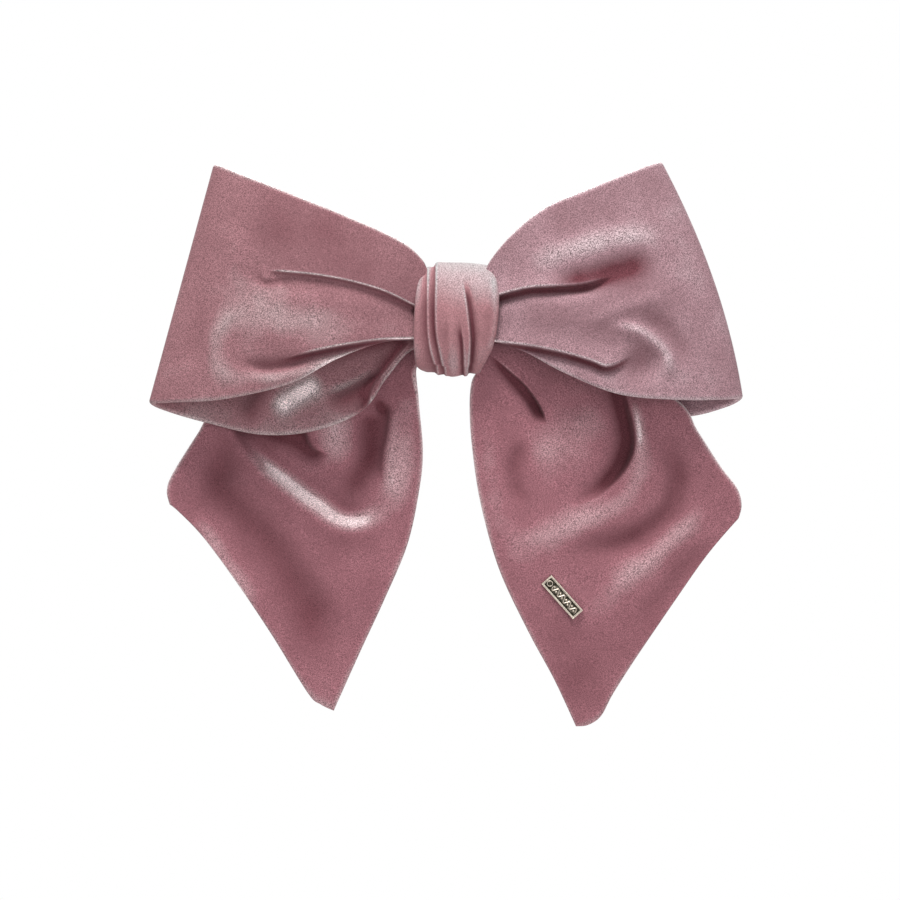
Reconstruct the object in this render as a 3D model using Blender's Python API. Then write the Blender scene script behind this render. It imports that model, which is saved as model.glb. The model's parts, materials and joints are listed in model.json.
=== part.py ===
"""Velvet bow barrette: one folded velvet band cinched by a knot wrap onto a sprung French clip.

Frame: +X to the viewer's right, +Z up, the bow faces -Y and the head is on the +Y side.
The origin is the middle of the clip's hair gap. Sizes are in millimetres times MM, in metres.
"""

import math
from collections import namedtuple

import bmesh
import bpy
from mathutils import Matrix, Vector

MM = 0.001

# ---- driving dimensions, in millimetres ----
CLOTH = 2.4  # thickness of the velvet band, two plies and a stiffener
GAP = 0.1  # clearance between metal pieces that touch
SOFT_GAP = 0.3  # clearance between cloth and its neighbours
ROUND = 16  # sides of a small round piece

# clip, from the bar out to the arm
BAR_HALF = 42.5  # half length of the base bar
BAR_WIDTH = 9.0
BAR_THICK = 1.0
BAR_Y = -6.85  # mid plane of the bar at its crown
BAR_RADIUS = 75.4  # the bar's bend
BAR_ARC_END = 33.0  # the bend ends here and the flat seats begin 2 mm further out
SEAT_BLEND = 2.0
PIN_X = -39.5  # hinge axis
PIN_R = 0.75
PIN_HOLE_R = 0.85
KNUCKLE_R = 1.6
KNUCKLE_CLEAR = 0.35  # between the knuckle and the bar
KNUCKLE_HALF = 3.2
EAR_THICK = 0.9  # hinge ears, folded up from the bar
EAR_R = 1.9
EAR_INSET = 0.02  # from the bar's side
JOIN_DEPTH = 0.4  # how deep a raised shape reaches into the piece that carries it
BAR_CORNER = ((0.0, 1.2), (0.5, 0.4), (1.2, 0.0))  # rounded corners: from the end, from the side
BAR_BREAKS = (4.5, 7.5, 8.5, 9.5, 12.5, 17.5, 22.5, 27.5, 32.5, 37.5)  # distances from its end
PIN_HEAD_R = 1.2
PIN_HEAD = 0.5
PIN_CHAMFER = 0.2
ARM_THICK = 0.9
ARM_INNER_Y = 2.4  # the arm's inner face at its crown
ARM_HALF_WIDTH = 3.0
ARM_ARC_END = 34.0
ARM_HEEL = 1.1  # the arm leaves its knuckle this far behind the hinge axis
ARM_BREAKS = (28, 22, 16, 10, 4)  # where its curve is sampled, each side of the middle
ARM_FLARE = (32.5, 35.3)  # it widens to the window's rails between these
ARM_CORNER = 1.0
RIB_THICK = 0.7
RIB_HALF = (0.9, 0.5)  # half width along its length and at its ends
LEAF_THICK = 0.45
LEAF_HALF_WIDTH = 2.5
LEAF_Y = -2.5  # mid plane of the tension spring at its crown
LEAF_HALF = 37.0
LEAF_TAPER = 0.7  # how much narrower each end is
LEAF_BREAKS = (34.6, 30, 24, 18, 12, 6)  # where its curve is sampled, each side of the middle
LEAF_CLEAR = 0.3  # between the spring's ends and the bar
LEAF_FLAT = 1.2  # length of its flat end short of the keeper
KEEPER_X = 35.8  # bridges that hold the tension spring's ends
KEEPER_HALF_LENGTH = 0.8
KEEPER_HEIGHTS = (1.1, 1.7)  # inside and outside of its roof, from the bar
KEEPER_SIDES = (0.4, 1.3)  # inside and outside of its legs, from the spring's side
LATCH_X = 39.7
WINDOW_HALF_WIDTH = 3.05  # opening in the arm's end that snaps over the latch leaves
WINDOW_HALF_LENGTH = 2.8
WINDOW_CORNER = 0.6
RAIL = 1.3
LEAVES_HALF_LENGTH = 1.9
LEAVES_OUTER = 2.75
LEAVES_THICK = 0.6
BARB = 0.2
BARB_LENGTH = 0.9
LEAF_TIP = 0.6  # height of the bevelled tip of a latch leaf
TIP_BEVEL = 0.2
LEAVES_TOP_Y = 8.2
PAD_THICK = 0.6
PAD_MARGIN = 0.2  # how far the pad reaches beyond its leaves
RIVET_R = 0.75
RIVET_HEAD_R = 1.3
RIVET_HEAD = 0.5
RIVET_BEVEL = (0.3, 0.2)  # of a head, in from its side and up from its seat
SEW_HOLES_X = (14.2, 18.2)  # each side of the knot
SEW_HOLE_R = 1.0
THREAD_R = 0.4
STITCH_R = 0.3
STITCH_HALF = 7.5
STITCH_Z = (5.2, 7.8)
STITCH_STEPS = 10
LASHING_BEND = 0.5  # size of the loop's bends
CLOTH_BACK_Y = -8.0  # back of the cloth that the lashings go round

# knot wrap
KNOT_Y = (-26.0, -3.1)  # front and back
KNOT_Z = (-17.4, 16.8)
KNOT_WALL = 2.2
KNOT_POWER = 4.0  # squareness of its rounded outline
BINDING_Y = (-23.3, -7.7)
BINDING_Z = (-12.6, 13.6)
BINDING_WALL = 0.7
BINDING_HALF = 2.0
BINDING_POWER = 6.0

# the wrap's edges: half widths where it is flat, and how they change in front and below
WRAP_HALF = 9.5
WRAP_FRONT = 3.0
WRAP_LEFT_MAX = 12.5
WRAP_LEFT_BELOW = 1.5
WRAP_RIGHT_BELOW = 4.0
WRAP_RIGHT_MIN = 5.5

# tag
TAG_LENGTH = 14.6
TAG_WIDTH = 4.2
TAG_THICK = 0.9
TAG_AT = (32.5, -85.3)
TAG_BACK_Y = -14.9
TAG_CORNER = 0.25
TAG_TILT = math.radians(-48.2)
TAG_RIM = 0.5
TAG_RECESS = 0.35
FIELD_CORNER = 0.3
PRONG = (1.0, 0.5, 1.3)  # along the tag, across it, and into the cloth
PRONG_CORNER = 0.1
PRONG_AT = 3.6
BEADS = 5
BEAD = (0.9, 0.8)  # half length and half width of a bead
BEAD_PITCH = 2.1
BEAD_START = -3.4
BEAD_RISE = 0.25  # above the field
TAG_PIN_AT = -5.6  # pin through the tag's upper end
TAG_PIN_R = 0.3
TAG_PIN_HEAD_R = 0.55
TAG_PIN_HEAD = 0.25
TAG_PIN_BEVEL = 0.1
TAG_PIN_DEPTH = 1.5
TAG_PIN_POINT = 0.3

# A station is a line across the cloth: its two edge points as (x, z), its depth y,
# how far the middle bellies out in y, and how far the middle sweeps in x.
Station = namedtuple("Station", "edge_a edge_b depth belly sweep", defaults=(0.0, 0.0))

LEFT_LOOP = [
    Station((-0.3, 9.5), (-0.3, -8.5), -20.6, -0.3),
    Station((-13.0, 11.5), (-13.0, -9.0), -20.7, -0.8),
    Station((-20.5, 24.3), (-23.5, -8.3), -23.8, -1.7),
    Station((-40.4, 33.6), (-40.4, -15.4), -27.0, -3.5),
    Station((-58.0, 40.2), (-64.2, -24.0), -25.0, -3.0),
    Station((-71.5, 45.9), (-88.5, -25.8), -19.3, -1.2),
    Station((-73.4, 46.5), (-92.4, -26.3), -16.0),
    Station((-71.5, 45.0), (-88.5, -27.5), -12.7, 1.2),
    Station((-58.0, 39.0), (-65.4, -34.0), -9.3, 1.8),
    Station((-41.0, 32.0), (-42.5, -33.0), -9.6, 1.6),
    Station((-25.0, 23.0), (-26.0, -24.0), -11.3, 1.8),
    Station((-13.0, 12.5), (-13.0, -11.0), -14.8, 0.2),
    Station((-0.3, 9.5), (-0.3, -8.5), -15.3),
]

RIGHT_LOOP = [
    Station((0.3, 9.5), (0.3, -8.5), -20.6, -0.3),
    Station((13.0, 11.5), (13.0, -9.0), -20.7, -0.8),
    Station((19.4, 27.5), (24.3, -11.8), -23.8, -1.7),
    Station((35.5, 37.5), (39.5, -20.2), -27.0, -3.5),
    Station((50.0, 43.6), (60.0, -25.0), -26.0, -2.5, 2.0),
    Station((61.5, 46.6), (83.5, -25.0), -19.3, -1.2, 3.0),
    Station((63.6, 47.0), (87.2, -25.3), -16.0, 0.0, 3.4),
    Station((61.5, 45.6), (83.5, -26.5), -12.7, 1.2, 3.4),
    Station((50.0, 42.5), (61.0, -30.5), -8.4, 2.2, 1.5),
    Station((35.5, 36.0), (41.0, -28.0), -7.4, 1.8),
    Station((22.0, 25.0), (25.0, -19.5), -8.9, 0.5),
    Station((13.0, 12.5), (13.0, -11.0), -10.1),
    Station((0.3, 9.5), (0.3, -8.5), -10.1),
]

LEFT_TAIL = [
    Station((-0.3, 9.5), (-0.3, -8.5), -10.1),
    Station((-13.0, 0.0), (-11.7, -13.9), -9.6),
    Station((-27.0, -12.0), (-11.4, -24.0), -6.7, 1.2),
    Station((-50.0, -21.5), (-9.8, -39.0), -3.7, 1.7),
    Station((-76.0, -33.0), (-10.8, -55.0), -4.2, 0.2),
    Station((-87.8, -52.5), (-15.8, -76.0), -6.0, -2.0),
    Station((-76.0, -66.5), (-21.5, -89.0), -8.0, -1.5),
    Station((-60.0, -88.0), (-29.5, -105.0), -8.5, -1.0),
    Station((-44.5, -115.0), (-37.5, -118.8), -8.5),
]

RIGHT_TAIL = [
    Station((0.3, 9.5), (0.3, -8.5), -15.3),
    Station((13.0, 0.0), (9.0, -13.6), -15.4, -0.2),
    Station((28.0, -9.0), (5.4, -21.0), -16.2, -1.3),
    Station((48.0, -17.0), (4.1, -30.0), -15.3, -2.7),
    Station((69.0, -26.5), (5.2, -40.5), -14.0, -3.0),
    Station((80.0, -43.5), (8.6, -57.0), -13.0, -3.0),
    Station((87.0, -57.0), (14.0, -77.0), -12.3, -2.5),
    Station((75.5, -73.6), (20.7, -92.3), -11.8, -1.8),
    Station((58.0, -98.5), (29.0, -108.5), -11.3, -0.8),
    Station((44.5, -119.7), (37.4, -124.4), -11.0),
]


# ---- scene and material helpers ----
def clear_scene():
    for obj in list(bpy.data.objects):
        bpy.data.objects.remove(obj)


def material(name, colour, roughness, metallic=0.0):
    made = bpy.data.materials.new(name)
    made.use_nodes = True
    shader = made.node_tree.nodes["Principled BSDF"]
    shader.inputs["Base Color"].default_value = (*colour, 1.0)
    shader.inputs["Roughness"].default_value = roughness
    shader.inputs["Metallic"].default_value = metallic
    made.diffuse_color = (*colour, 1.0)
    return made


def add_object(name, mesh_builder, mat, location=(0, 0, 0), helper=False):
    """A named object from a bmesh given in millimetres."""
    bmesh.ops.recalc_face_normals(mesh_builder, faces=mesh_builder.faces)
    bmesh.ops.scale(mesh_builder, vec=(MM, MM, MM), verts=mesh_builder.verts)
    mesh = bpy.data.meshes.new(name)
    mesh_builder.to_mesh(mesh)
    mesh_builder.free()
    mesh.shade_smooth()
    mesh.set_sharp_from_angle(angle=math.radians(35))
    obj = bpy.data.objects.new(name, mesh)
    obj.location = Vector(location) * MM
    bpy.context.scene.collection.objects.link(obj)
    if mat is not None:
        mesh.materials.append(mat)
    if helper:
        obj.hide_render = True
        obj.display_type = "WIRE"
    return obj


def boolean(obj, other, operation):
    """Joins or cuts obj with a helper object."""
    modifier = obj.modifiers.new(operation.title() + "_" + other.name, "BOOLEAN")
    modifier.operation = operation
    modifier.object = other
    modifier.solver = "EXACT"


def solidify(obj, thickness, offset):
    modifier = obj.modifiers.new("Thickness", "SOLIDIFY")
    modifier.thickness = thickness * MM
    modifier.offset = offset
    modifier.use_even_offset = True


# ---- shape helpers, all in millimetres ----
def prism(outline, low, high, axis):
    """A closed prism of a 2D outline, extruded from low to high along axis 0, 1 or 2."""
    built = bmesh.new()
    others = [i for i in range(3) if i != axis]
    corners = []
    for a, b in outline:
        point = [0.0, 0.0, 0.0]
        point[others[0]], point[others[1]] = a, b
        point[axis] = low
        corners.append(built.verts.new(point))
    face = built.faces.new(corners)
    extruded = bmesh.ops.extrude_face_region(built, geom=[face])
    moved = [v for v in extruded["geom"] if isinstance(v, bmesh.types.BMVert)]
    shift = Vector((0, 0, 0))
    shift[axis] = high - low
    bmesh.ops.translate(built, vec=shift, verts=moved)
    return built


def circle(centre, radius, sides=ROUND):
    return [
        (
            centre[0] + radius * math.cos(2 * math.pi * i / sides),
            centre[1] + radius * math.sin(2 * math.pi * i / sides),
        )
        for i in range(sides)
    ]


def cutter(name, outline, low, high, axis):
    return add_object(name, prism(outline, low, high, axis), None, helper=True)


def strip(stations, thickness):
    """A closed strip along X from (x, mid y, half width) stations."""
    built = bmesh.new()
    rings = []
    for x, y, half in stations:
        section = ((-1, -1), (1, -1), (1, 1), (-1, 1))
        rings.append(
            [built.verts.new((x, y + thickness / 2 * a, half * b)) for a, b in section]
        )
    for first, second in zip(rings, rings[1:]):
        for i in range(4):
            j = (i + 1) % 4
            built.faces.new((first[i], first[j], second[j], second[i]))
    built.faces.new(rings[0])
    built.faces.new(list(reversed(rings[-1])))
    return built


def catmull_rom(a, b, c, d, t):
    return 0.5 * (
        2 * b + (c - a) * t + (2 * a - 5 * b + 4 * c - d) * t**2
        + (3 * b - a - 3 * c + d) * t**3
    )


def station_numbers(station):
    return (*station.edge_a, *station.edge_b, station.depth, station.belly, station.sweep)


def between(stations, position):
    """The station at a fractional index, on a smooth curve through all of them."""
    last = len(stations) - 1
    start = min(int(position), last - 1)
    near = [stations[min(max(start + k, 0), last)] for k in (-1, 0, 1, 2)]
    numbers = zip(*(station_numbers(s) for s in near))
    values = [catmull_rom(*four, position - start) for four in numbers]
    return Station(tuple(values[0:2]), tuple(values[2:4]), *values[4:])


def cloth_sheet(stations, per_station=2, across=6):
    """The middle surface of a cloth piece as an open grid."""
    built = bmesh.new()
    rows = []
    for i in range((len(stations) - 1) * per_station + 1):
        line = between(stations, i / per_station)
        row = []
        for j in range(across + 1):
            u = j / across
            crown = 4 * u * (1 - u)
            x = line.edge_a[0] * (1 - u) + line.edge_b[0] * u + line.sweep * crown
            z = line.edge_a[1] * (1 - u) + line.edge_b[1] * u
            row.append(built.verts.new((x, line.depth + line.belly * crown, z)))
        rows.append(row)
    for first, second in zip(rows, rows[1:]):
        for j in range(across):
            built.faces.new((first[j], first[j + 1], second[j + 1], second[j]))
    return built


def ring_outline(y_range, z_range, power, sides):
    """Points round a superellipse in the YZ plane, with the angle of each."""
    half_y = (y_range[1] - y_range[0]) / 2
    half_z = (z_range[1] - z_range[0]) / 2
    mid_y, mid_z = sum(y_range) / 2, sum(z_range) / 2
    points = []
    for i in range(sides):
        angle = 2 * math.pi * i / sides
        c, s = math.cos(angle), math.sin(angle)
        y = mid_y + half_y * math.copysign(abs(c) ** (2 / power), c)
        z = mid_z + half_z * math.copysign(abs(s) ** (2 / power), s)
        points.append((angle, y, z))
    return points


def ring_band(outline, edges_at, columns):
    """An open band round an outline; edges_at(angle) gives its left and right x."""
    built = bmesh.new()
    rows = []
    for angle, y, z in outline:
        left, right = edges_at(angle)
        xs = [left + (right - left) * i / columns for i in range(columns + 1)]
        rows.append([built.verts.new((x, y, z)) for x in xs])
    for i, row in enumerate(rows):
        after = rows[(i + 1) % len(rows)]
        for j in range(columns):
            built.faces.new((row[j], row[j + 1], after[j + 1], after[j]))
    return built


def thread(name, points, radius, mat, cyclic=False):
    """A thread as a bevelled curve through points in millimetres."""
    curve = bpy.data.curves.new(name, "CURVE")
    curve.dimensions = "3D"
    spline = curve.splines.new("POLY")
    spline.points.add(len(points) - 1)
    for target, point in zip(spline.points, points):
        target.co = (*(Vector(point) * MM), 1.0)
    spline.use_cyclic_u = cyclic
    curve.bevel_depth = radius * MM
    curve.bevel_resolution = 2
    curve.use_fill_caps = not cyclic
    curve.materials.append(mat)
    obj = bpy.data.objects.new(name, curve)
    bpy.context.scene.collection.objects.link(obj)
    return obj


# ---- clip curves ----
def bar_rise(x):
    """How far the bar's mid plane rises towards the head at x."""
    out = abs(x)
    arc = BAR_RADIUS - math.sqrt(BAR_RADIUS**2 - min(out, BAR_ARC_END) ** 2)
    slope = BAR_ARC_END / math.sqrt(BAR_RADIUS**2 - BAR_ARC_END**2)
    past = min(max(out - BAR_ARC_END, 0.0), SEAT_BLEND)
    return arc + slope * (past - past**2 / (2 * SEAT_BLEND))


SEAT_INNER_Y = BAR_Y + bar_rise(BAR_HALF) + BAR_THICK / 2  # face towards the head
SEAT_OUTER_Y = SEAT_INNER_Y - BAR_THICK
PIN_Y = SEAT_INNER_Y + KNUCKLE_CLEAR + KNUCKLE_R
ARM_END_Y = PIN_Y + ARM_HEEL  # mid plane of the arm beyond its bend


def arm_mid(x):
    crown = ARM_INNER_Y + ARM_THICK / 2
    share = min(abs(x) / ARM_ARC_END, 1.0)
    return crown + (ARM_END_Y - crown) * share**2


def leaf_mid(x):
    end = SEAT_INNER_Y + LEAF_CLEAR + LEAF_THICK / 2
    share = min(abs(x) / (KEEPER_X - LEAF_FLAT), 1.0)
    return LEAF_Y + (end - LEAF_Y) * share**2


# ---- clip pieces ----
def base_bar(steel):
    """Curved bar with hinge ears, two spring keepers, sewing holes and a rivet hole."""
    half = BAR_WIDTH / 2
    profile = [(-BAR_HALF + along, half - aside) for along, aside in BAR_CORNER]
    profile += [(-BAR_HALF + along, half) for along in BAR_BREAKS]
    profile += [(0.0, half)] + [(-x, h) for x, h in reversed(profile)]
    stations = [(x, BAR_Y + bar_rise(x), h) for x, h in profile]
    bar = add_object("base_bar", strip(stations, BAR_THICK), steel)

    bottom = SEAT_INNER_Y - JOIN_DEPTH
    for side, name in ((-1, "low"), (1, "high")):
        ear = [(PIN_X - EAR_R, bottom), (PIN_X + EAR_R, bottom)]
        ear += [
            (PIN_X + EAR_R * math.cos(a), PIN_Y + EAR_R * math.sin(a))
            for a in (math.pi * k / 8 for k in range(9))
        ]
        low, high = sorted((side * (half - EAR_THICK), side * (half - EAR_INSET)))
        boolean(bar, cutter(f"ear_{name}", ear, low, high, 2), "UNION")

    roof, top = (SEAT_INNER_Y + height for height in KEEPER_HEIGHTS)
    inner, outer = (LEAF_HALF_WIDTH + aside for aside in KEEPER_SIDES)
    bridge = [(bottom, -outer), (top, -outer), (top, outer), (bottom, outer)]
    bridge += [(bottom, inner), (roof, inner), (roof, -inner), (bottom, -inner)]
    for side, name in ((-1, "left"), (1, "right")):
        low, high = side * KEEPER_X - KEEPER_HALF_LENGTH, side * KEEPER_X + KEEPER_HALF_LENGTH
        boolean(bar, cutter(f"keeper_{name}", bridge, low, high, 0), "UNION")

    pin_hole = circle((PIN_X, PIN_Y), PIN_HOLE_R)
    boolean(bar, cutter("pin_hole", pin_hole, -half - 1, half + 1, 2), "DIFFERENCE")
    rivet_hole = circle((LATCH_X, 0), RIVET_R + GAP)
    boolean(bar, cutter("rivet_hole", rivet_hole, -5, 5, 1), "DIFFERENCE")
    for side in (-1, 1):
        for x in SEW_HOLES_X:
            hole = circle((side * x, 0), SEW_HOLE_R)
            name = f"sew_hole_{side * x:.0f}"
            boolean(bar, cutter(name, hole, -12, 5, 1), "DIFFERENCE")
    return bar


def hinge_pin(steel):
    """Pin with a peened head outside each ear, turned about the hinge axis."""
    head_in = BAR_WIDTH / 2 + GAP
    head_out = head_in + PIN_HEAD
    profile = [(0, -head_out), (PIN_HEAD_R - PIN_CHAMFER, -head_out)]
    profile += [(PIN_HEAD_R, -head_out + PIN_CHAMFER), (PIN_HEAD_R, -head_in), (PIN_R, -head_in)]
    profile += [(r, -z) for r, z in reversed(profile)]
    return add_object("hinge_pin", turned(profile), steel, (PIN_X, PIN_Y, 0))


def turned(profile):
    """A closed solid of (radius, height) points turned about Z, its ends on the axis."""
    built = bmesh.new()
    line = [built.verts.new((r, 0, z)) for r, z in profile]
    edges = [built.edges.new(pair) for pair in zip(line, line[1:])]
    bmesh.ops.spin(
        built, geom=line + edges, cent=(0, 0, 0), axis=(0, 0, 1),
        angle=2 * math.pi, steps=ROUND, use_merge=True,
    )
    bmesh.ops.remove_doubles(built, verts=built.verts, dist=1e-4)
    return built


def clip_arm(steel):
    """Closing arm: a curled knuckle, a ribbed strip and a windowed end."""
    end = LATCH_X + WINDOW_HALF_LENGTH + RAIL
    wide = WINDOW_HALF_WIDTH + RAIL
    curve = [-ARM_ARC_END] + [-x for x in ARM_BREAKS] + list(reversed(ARM_BREAKS))
    profile = [(x, ARM_HALF_WIDTH) for x in [PIN_X] + curve + [ARM_FLARE[0]]]
    profile += [(ARM_FLARE[1], wide), (end - ARM_CORNER, wide), (end, wide - ARM_CORNER)]
    stations = [(x, arm_mid(x), h) for x, h in profile]
    arm = add_object("clip_arm", strip(stations, ARM_THICK), steel)

    knuckle = circle((PIN_X, PIN_Y), KNUCKLE_R)
    boolean(arm, cutter("knuckle", knuckle, -KNUCKLE_HALF, KNUCKLE_HALF, 2), "UNION")
    rib_xs = curve + [ARM_FLARE[0]]
    halves = [RIB_HALF[1]] + [RIB_HALF[0]] * (len(rib_xs) - 2) + [RIB_HALF[1]]
    rib = [(x, arm_mid(x) + ARM_THICK / 2, half) for x, half in zip(rib_xs, halves)]
    boolean(arm, add_object("arm_rib", strip(rib, RIB_THICK), None, helper=True), "UNION")

    pin_hole = circle((PIN_X, PIN_Y), PIN_HOLE_R)
    boolean(arm, cutter("knuckle_hole", pin_hole, -5, 5, 2), "DIFFERENCE")
    low, high = LATCH_X - WINDOW_HALF_LENGTH, LATCH_X + WINDOW_HALF_LENGTH
    w, corner = WINDOW_HALF_WIDTH, WINDOW_CORNER
    window = [(low, -w + corner), (low + corner, -w), (high - corner, -w), (high, -w + corner)]
    window += [(x, -z) for x, z in reversed(window)]
    boolean(arm, cutter("window", window, 0, 9, 1), "DIFFERENCE")
    return arm


def tension_spring(spring_steel):
    """Bowed leaf whose ends sit in the bar's keepers."""
    xs = [-LEAF_HALF, -KEEPER_X] + [-x for x in LEAF_BREAKS]
    xs += [0.0] + [-x for x in reversed(xs)]
    tapers = [LEAF_TAPER] + [0.0] * (len(xs) - 2) + [LEAF_TAPER]
    stations = [(x, leaf_mid(x), LEAF_HALF_WIDTH - taper) for x, taper in zip(xs, tapers)]
    return add_object("tension_spring", strip(stations, LEAF_THICK), spring_steel)


def latch_base(spring_steel):
    """Pad of the latch stamping, riveted to the bar."""
    half_x, half_z = LEAVES_HALF_LENGTH + PAD_MARGIN, LEAVES_OUTER
    low = SEAT_INNER_Y + GAP
    corners = [(-half_x, -half_z), (half_x, -half_z), (half_x, half_z), (-half_x, half_z)]
    outline = [(LATCH_X + x, z) for x, z in corners]
    pad = add_object("latch_base", prism(outline, low, low + PAD_THICK, 1), spring_steel)
    hole = circle((LATCH_X, 0), RIVET_R + GAP)
    boolean(pad, cutter("pad_hole", hole, low - 1, low + 2, 1), "DIFFERENCE")
    return pad


LEAF_FOOT_Y = SEAT_INNER_Y + GAP + PAD_THICK + GAP


def latch_leaf(name, side, spring_steel):
    """One pinch leaf with its barb, standing through the arm's window."""
    foot, top = LEAF_FOOT_Y, LEAVES_TOP_Y
    barb = ARM_END_Y + ARM_THICK / 2 + GAP
    outer, inner = LEAVES_OUTER, LEAVES_OUTER - LEAVES_THICK
    section = [(foot, inner), (foot, outer), (barb, outer), (barb, outer + BARB)]
    section += [(barb + BARB_LENGTH, outer), (top - LEAF_TIP, outer + BARB), (top, outer)]
    section += [(top, inner + TIP_BEVEL), (top - LEAF_TIP, inner)]
    outline = [(y, side * z) for y, z in section]
    low, high = LATCH_X - LEAVES_HALF_LENGTH, LATCH_X + LEAVES_HALF_LENGTH
    built = prism(outline, low, high, 0)
    pivot = Vector((LATCH_X, foot, side * (inner + outer) / 2))
    bmesh.ops.translate(built, vec=-pivot, verts=built.verts)
    return add_object(name, built, spring_steel, pivot)


def latch_rivet(steel):
    """Rivet through the latch pad and the bar, with a head at each end."""
    front = SEAT_OUTER_Y - GAP
    back = SEAT_INNER_Y + GAP + PAD_THICK + GAP
    aside, rise = RIVET_BEVEL
    profile = [(0, front - RIVET_HEAD), (RIVET_HEAD_R - aside, front - RIVET_HEAD)]
    profile += [(RIVET_HEAD_R, front - rise), (RIVET_HEAD_R, front), (RIVET_R, front)]
    profile += [(RIVET_R, back), (RIVET_HEAD_R, back), (RIVET_HEAD_R, back + rise)]
    profile += [(RIVET_HEAD_R - aside, back + RIVET_HEAD), (0, back + RIVET_HEAD)]
    rivet = turned(profile)
    bmesh.ops.rotate(
        rivet, verts=rivet.verts, cent=(0, 0, 0), matrix=Matrix.Rotation(-math.pi / 2, 3, "X")
    )
    return add_object("latch_rivet", rivet, steel, (LATCH_X, 0, 0))


# ---- cloth pieces ----
def cloth_piece(name, stations, velvet):
    piece = add_object(name, cloth_sheet(stations), velvet)
    solidify(piece, CLOTH, 0.0)
    return piece


def knot_edges(angle):
    """Left and right x of the knot wrap: wide in front, narrow below and behind."""
    front = max(0.0, -math.cos(angle))
    below = max(0.0, -math.sin(angle)) ** 2
    half = WRAP_HALF + WRAP_FRONT * front
    left = min(half + WRAP_LEFT_BELOW * below, WRAP_LEFT_MAX - WRAP_LEFT_BELOW * below)
    right = max(half - WRAP_RIGHT_BELOW * below, WRAP_RIGHT_MIN)
    return -left, right


def knot_wrap(velvet):
    outline = ring_outline(KNOT_Y, KNOT_Z, KNOT_POWER, 32)
    wrap = add_object("knot_wrap", ring_band(outline, knot_edges, 4), velvet)
    solidify(wrap, KNOT_WALL, -1.0)
    return wrap


def gather_binding(cotton):
    """Thread bound round the cinched layers, as one flat band."""
    outline = ring_outline(BINDING_Y, BINDING_Z, BINDING_POWER, 24)
    edges = (-BINDING_HALF, BINDING_HALF)
    binding = add_object("gather_binding", ring_band(outline, lambda angle: edges, 1), cotton)
    solidify(binding, BINDING_WALL, -1.0)
    return binding


def closing_stitch(cotton):
    """Zigzag stitch over the wrap's free end, which lies across its back above the spring."""
    y = KNOT_Y[1] + SOFT_GAP + STITCH_R
    points = [
        (STITCH_HALF * (2 * i / STITCH_STEPS - 1), y, STITCH_Z[i % 2])
        for i in range(STITCH_STEPS + 1)
    ]
    return thread("closing_stitch", points, STITCH_R, cotton)


def bar_lashing(name, side, cotton):
    """Thread loop through two sewing holes that ties the bar to the cloth before it."""
    near, far = SEW_HOLES_X
    bend = LASHING_BEND
    behind = BAR_Y + BAR_THICK / 2 + THREAD_R + GAP
    front = CLOTH_BACK_Y + SOFT_GAP + THREAD_R
    near_y, far_y = behind + bar_rise(near), behind + bar_rise(far)
    points = [(near, near_y + SOFT_GAP), (near, front + bend), (near + bend, front)]
    points += [(far - bend, front), (far, front + bend), (far, far_y)]
    points += [(far - THREAD_R, far_y + SOFT_GAP)]
    route = [(side * x, y, 0.0) for x, y in points]
    return thread(name, route, THREAD_R, cotton, cyclic=True)


# ---- tag ----
def tag_frame():
    """Placement of the tag: its length along X, its face towards -Y, on the right tail."""
    moved = Matrix.Translation(Vector((TAG_AT[0], TAG_BACK_Y, TAG_AT[1])))
    return moved @ Matrix.Rotation(-TAG_TILT, 4, "Y")


def place(builder, frame):
    """A shape moved from the tag's own axes to the bow's."""
    bmesh.ops.transform(builder, matrix=frame, verts=builder.verts)
    return builder


def rectangle(half_x, half_z, corner):
    """A rectangle with clipped corners."""
    a, b, c = half_x, half_z, corner
    return [(-a + c, -b), (a - c, -b), (a, -b + c), (a, b - c),
            (a - c, b), (-a + c, b), (-a, b - c), (-a, -b + c)]


def tag_tool(name, outline, low, high, frame):
    """A helper prism in the tag's axes, from low to high in depth."""
    return add_object(name, place(prism(outline, low, high, 1), frame), None, helper=True)


def prong_outline(side, margin):
    outline = rectangle(PRONG[0] / 2 + margin, PRONG[1] / 2 + margin, PRONG_CORNER)
    return [(side * PRONG_AT + x, z) for x, z in outline]


def tag_plate(gilt, frame):
    """Rimmed metal plate with a recessed field, raised beads and two prongs behind."""
    outline = rectangle(TAG_LENGTH / 2, TAG_WIDTH / 2, TAG_CORNER)
    plate = add_object("tag_plate", place(prism(outline, -TAG_THICK, 0, 1), frame), gilt)
    floor = TAG_RECESS - TAG_THICK
    field = rectangle(TAG_LENGTH / 2 - TAG_RIM, TAG_WIDTH / 2 - TAG_RIM, FIELD_CORNER)
    boolean(plate, tag_tool("tag_field", field, -2 * TAG_THICK, floor, frame), "DIFFERENCE")
    for i in range(BEADS):
        x = BEAD_START + i * BEAD_PITCH
        lozenge = [(x - BEAD[0], 0), (x, -BEAD[1]), (x + BEAD[0], 0), (x, BEAD[1])]
        bead = tag_tool(f"tag_bead_{i}", lozenge, floor - BEAD_RISE, floor + BEAD_RISE, frame)
        boolean(plate, bead, "UNION")
    for side, name in ((-1, "prong_upper"), (1, "prong_lower")):
        prong = tag_tool(name, prong_outline(side, 0.0), -TAG_RECESS / 2, PRONG[2], frame)
        boolean(plate, prong, "UNION")
    hole = circle((TAG_PIN_AT, 0), TAG_PIN_R + GAP)
    boolean(plate, tag_tool("tag_hole", hole, -2 * TAG_THICK, TAG_THICK, frame), "DIFFERENCE")
    return plate


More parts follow.
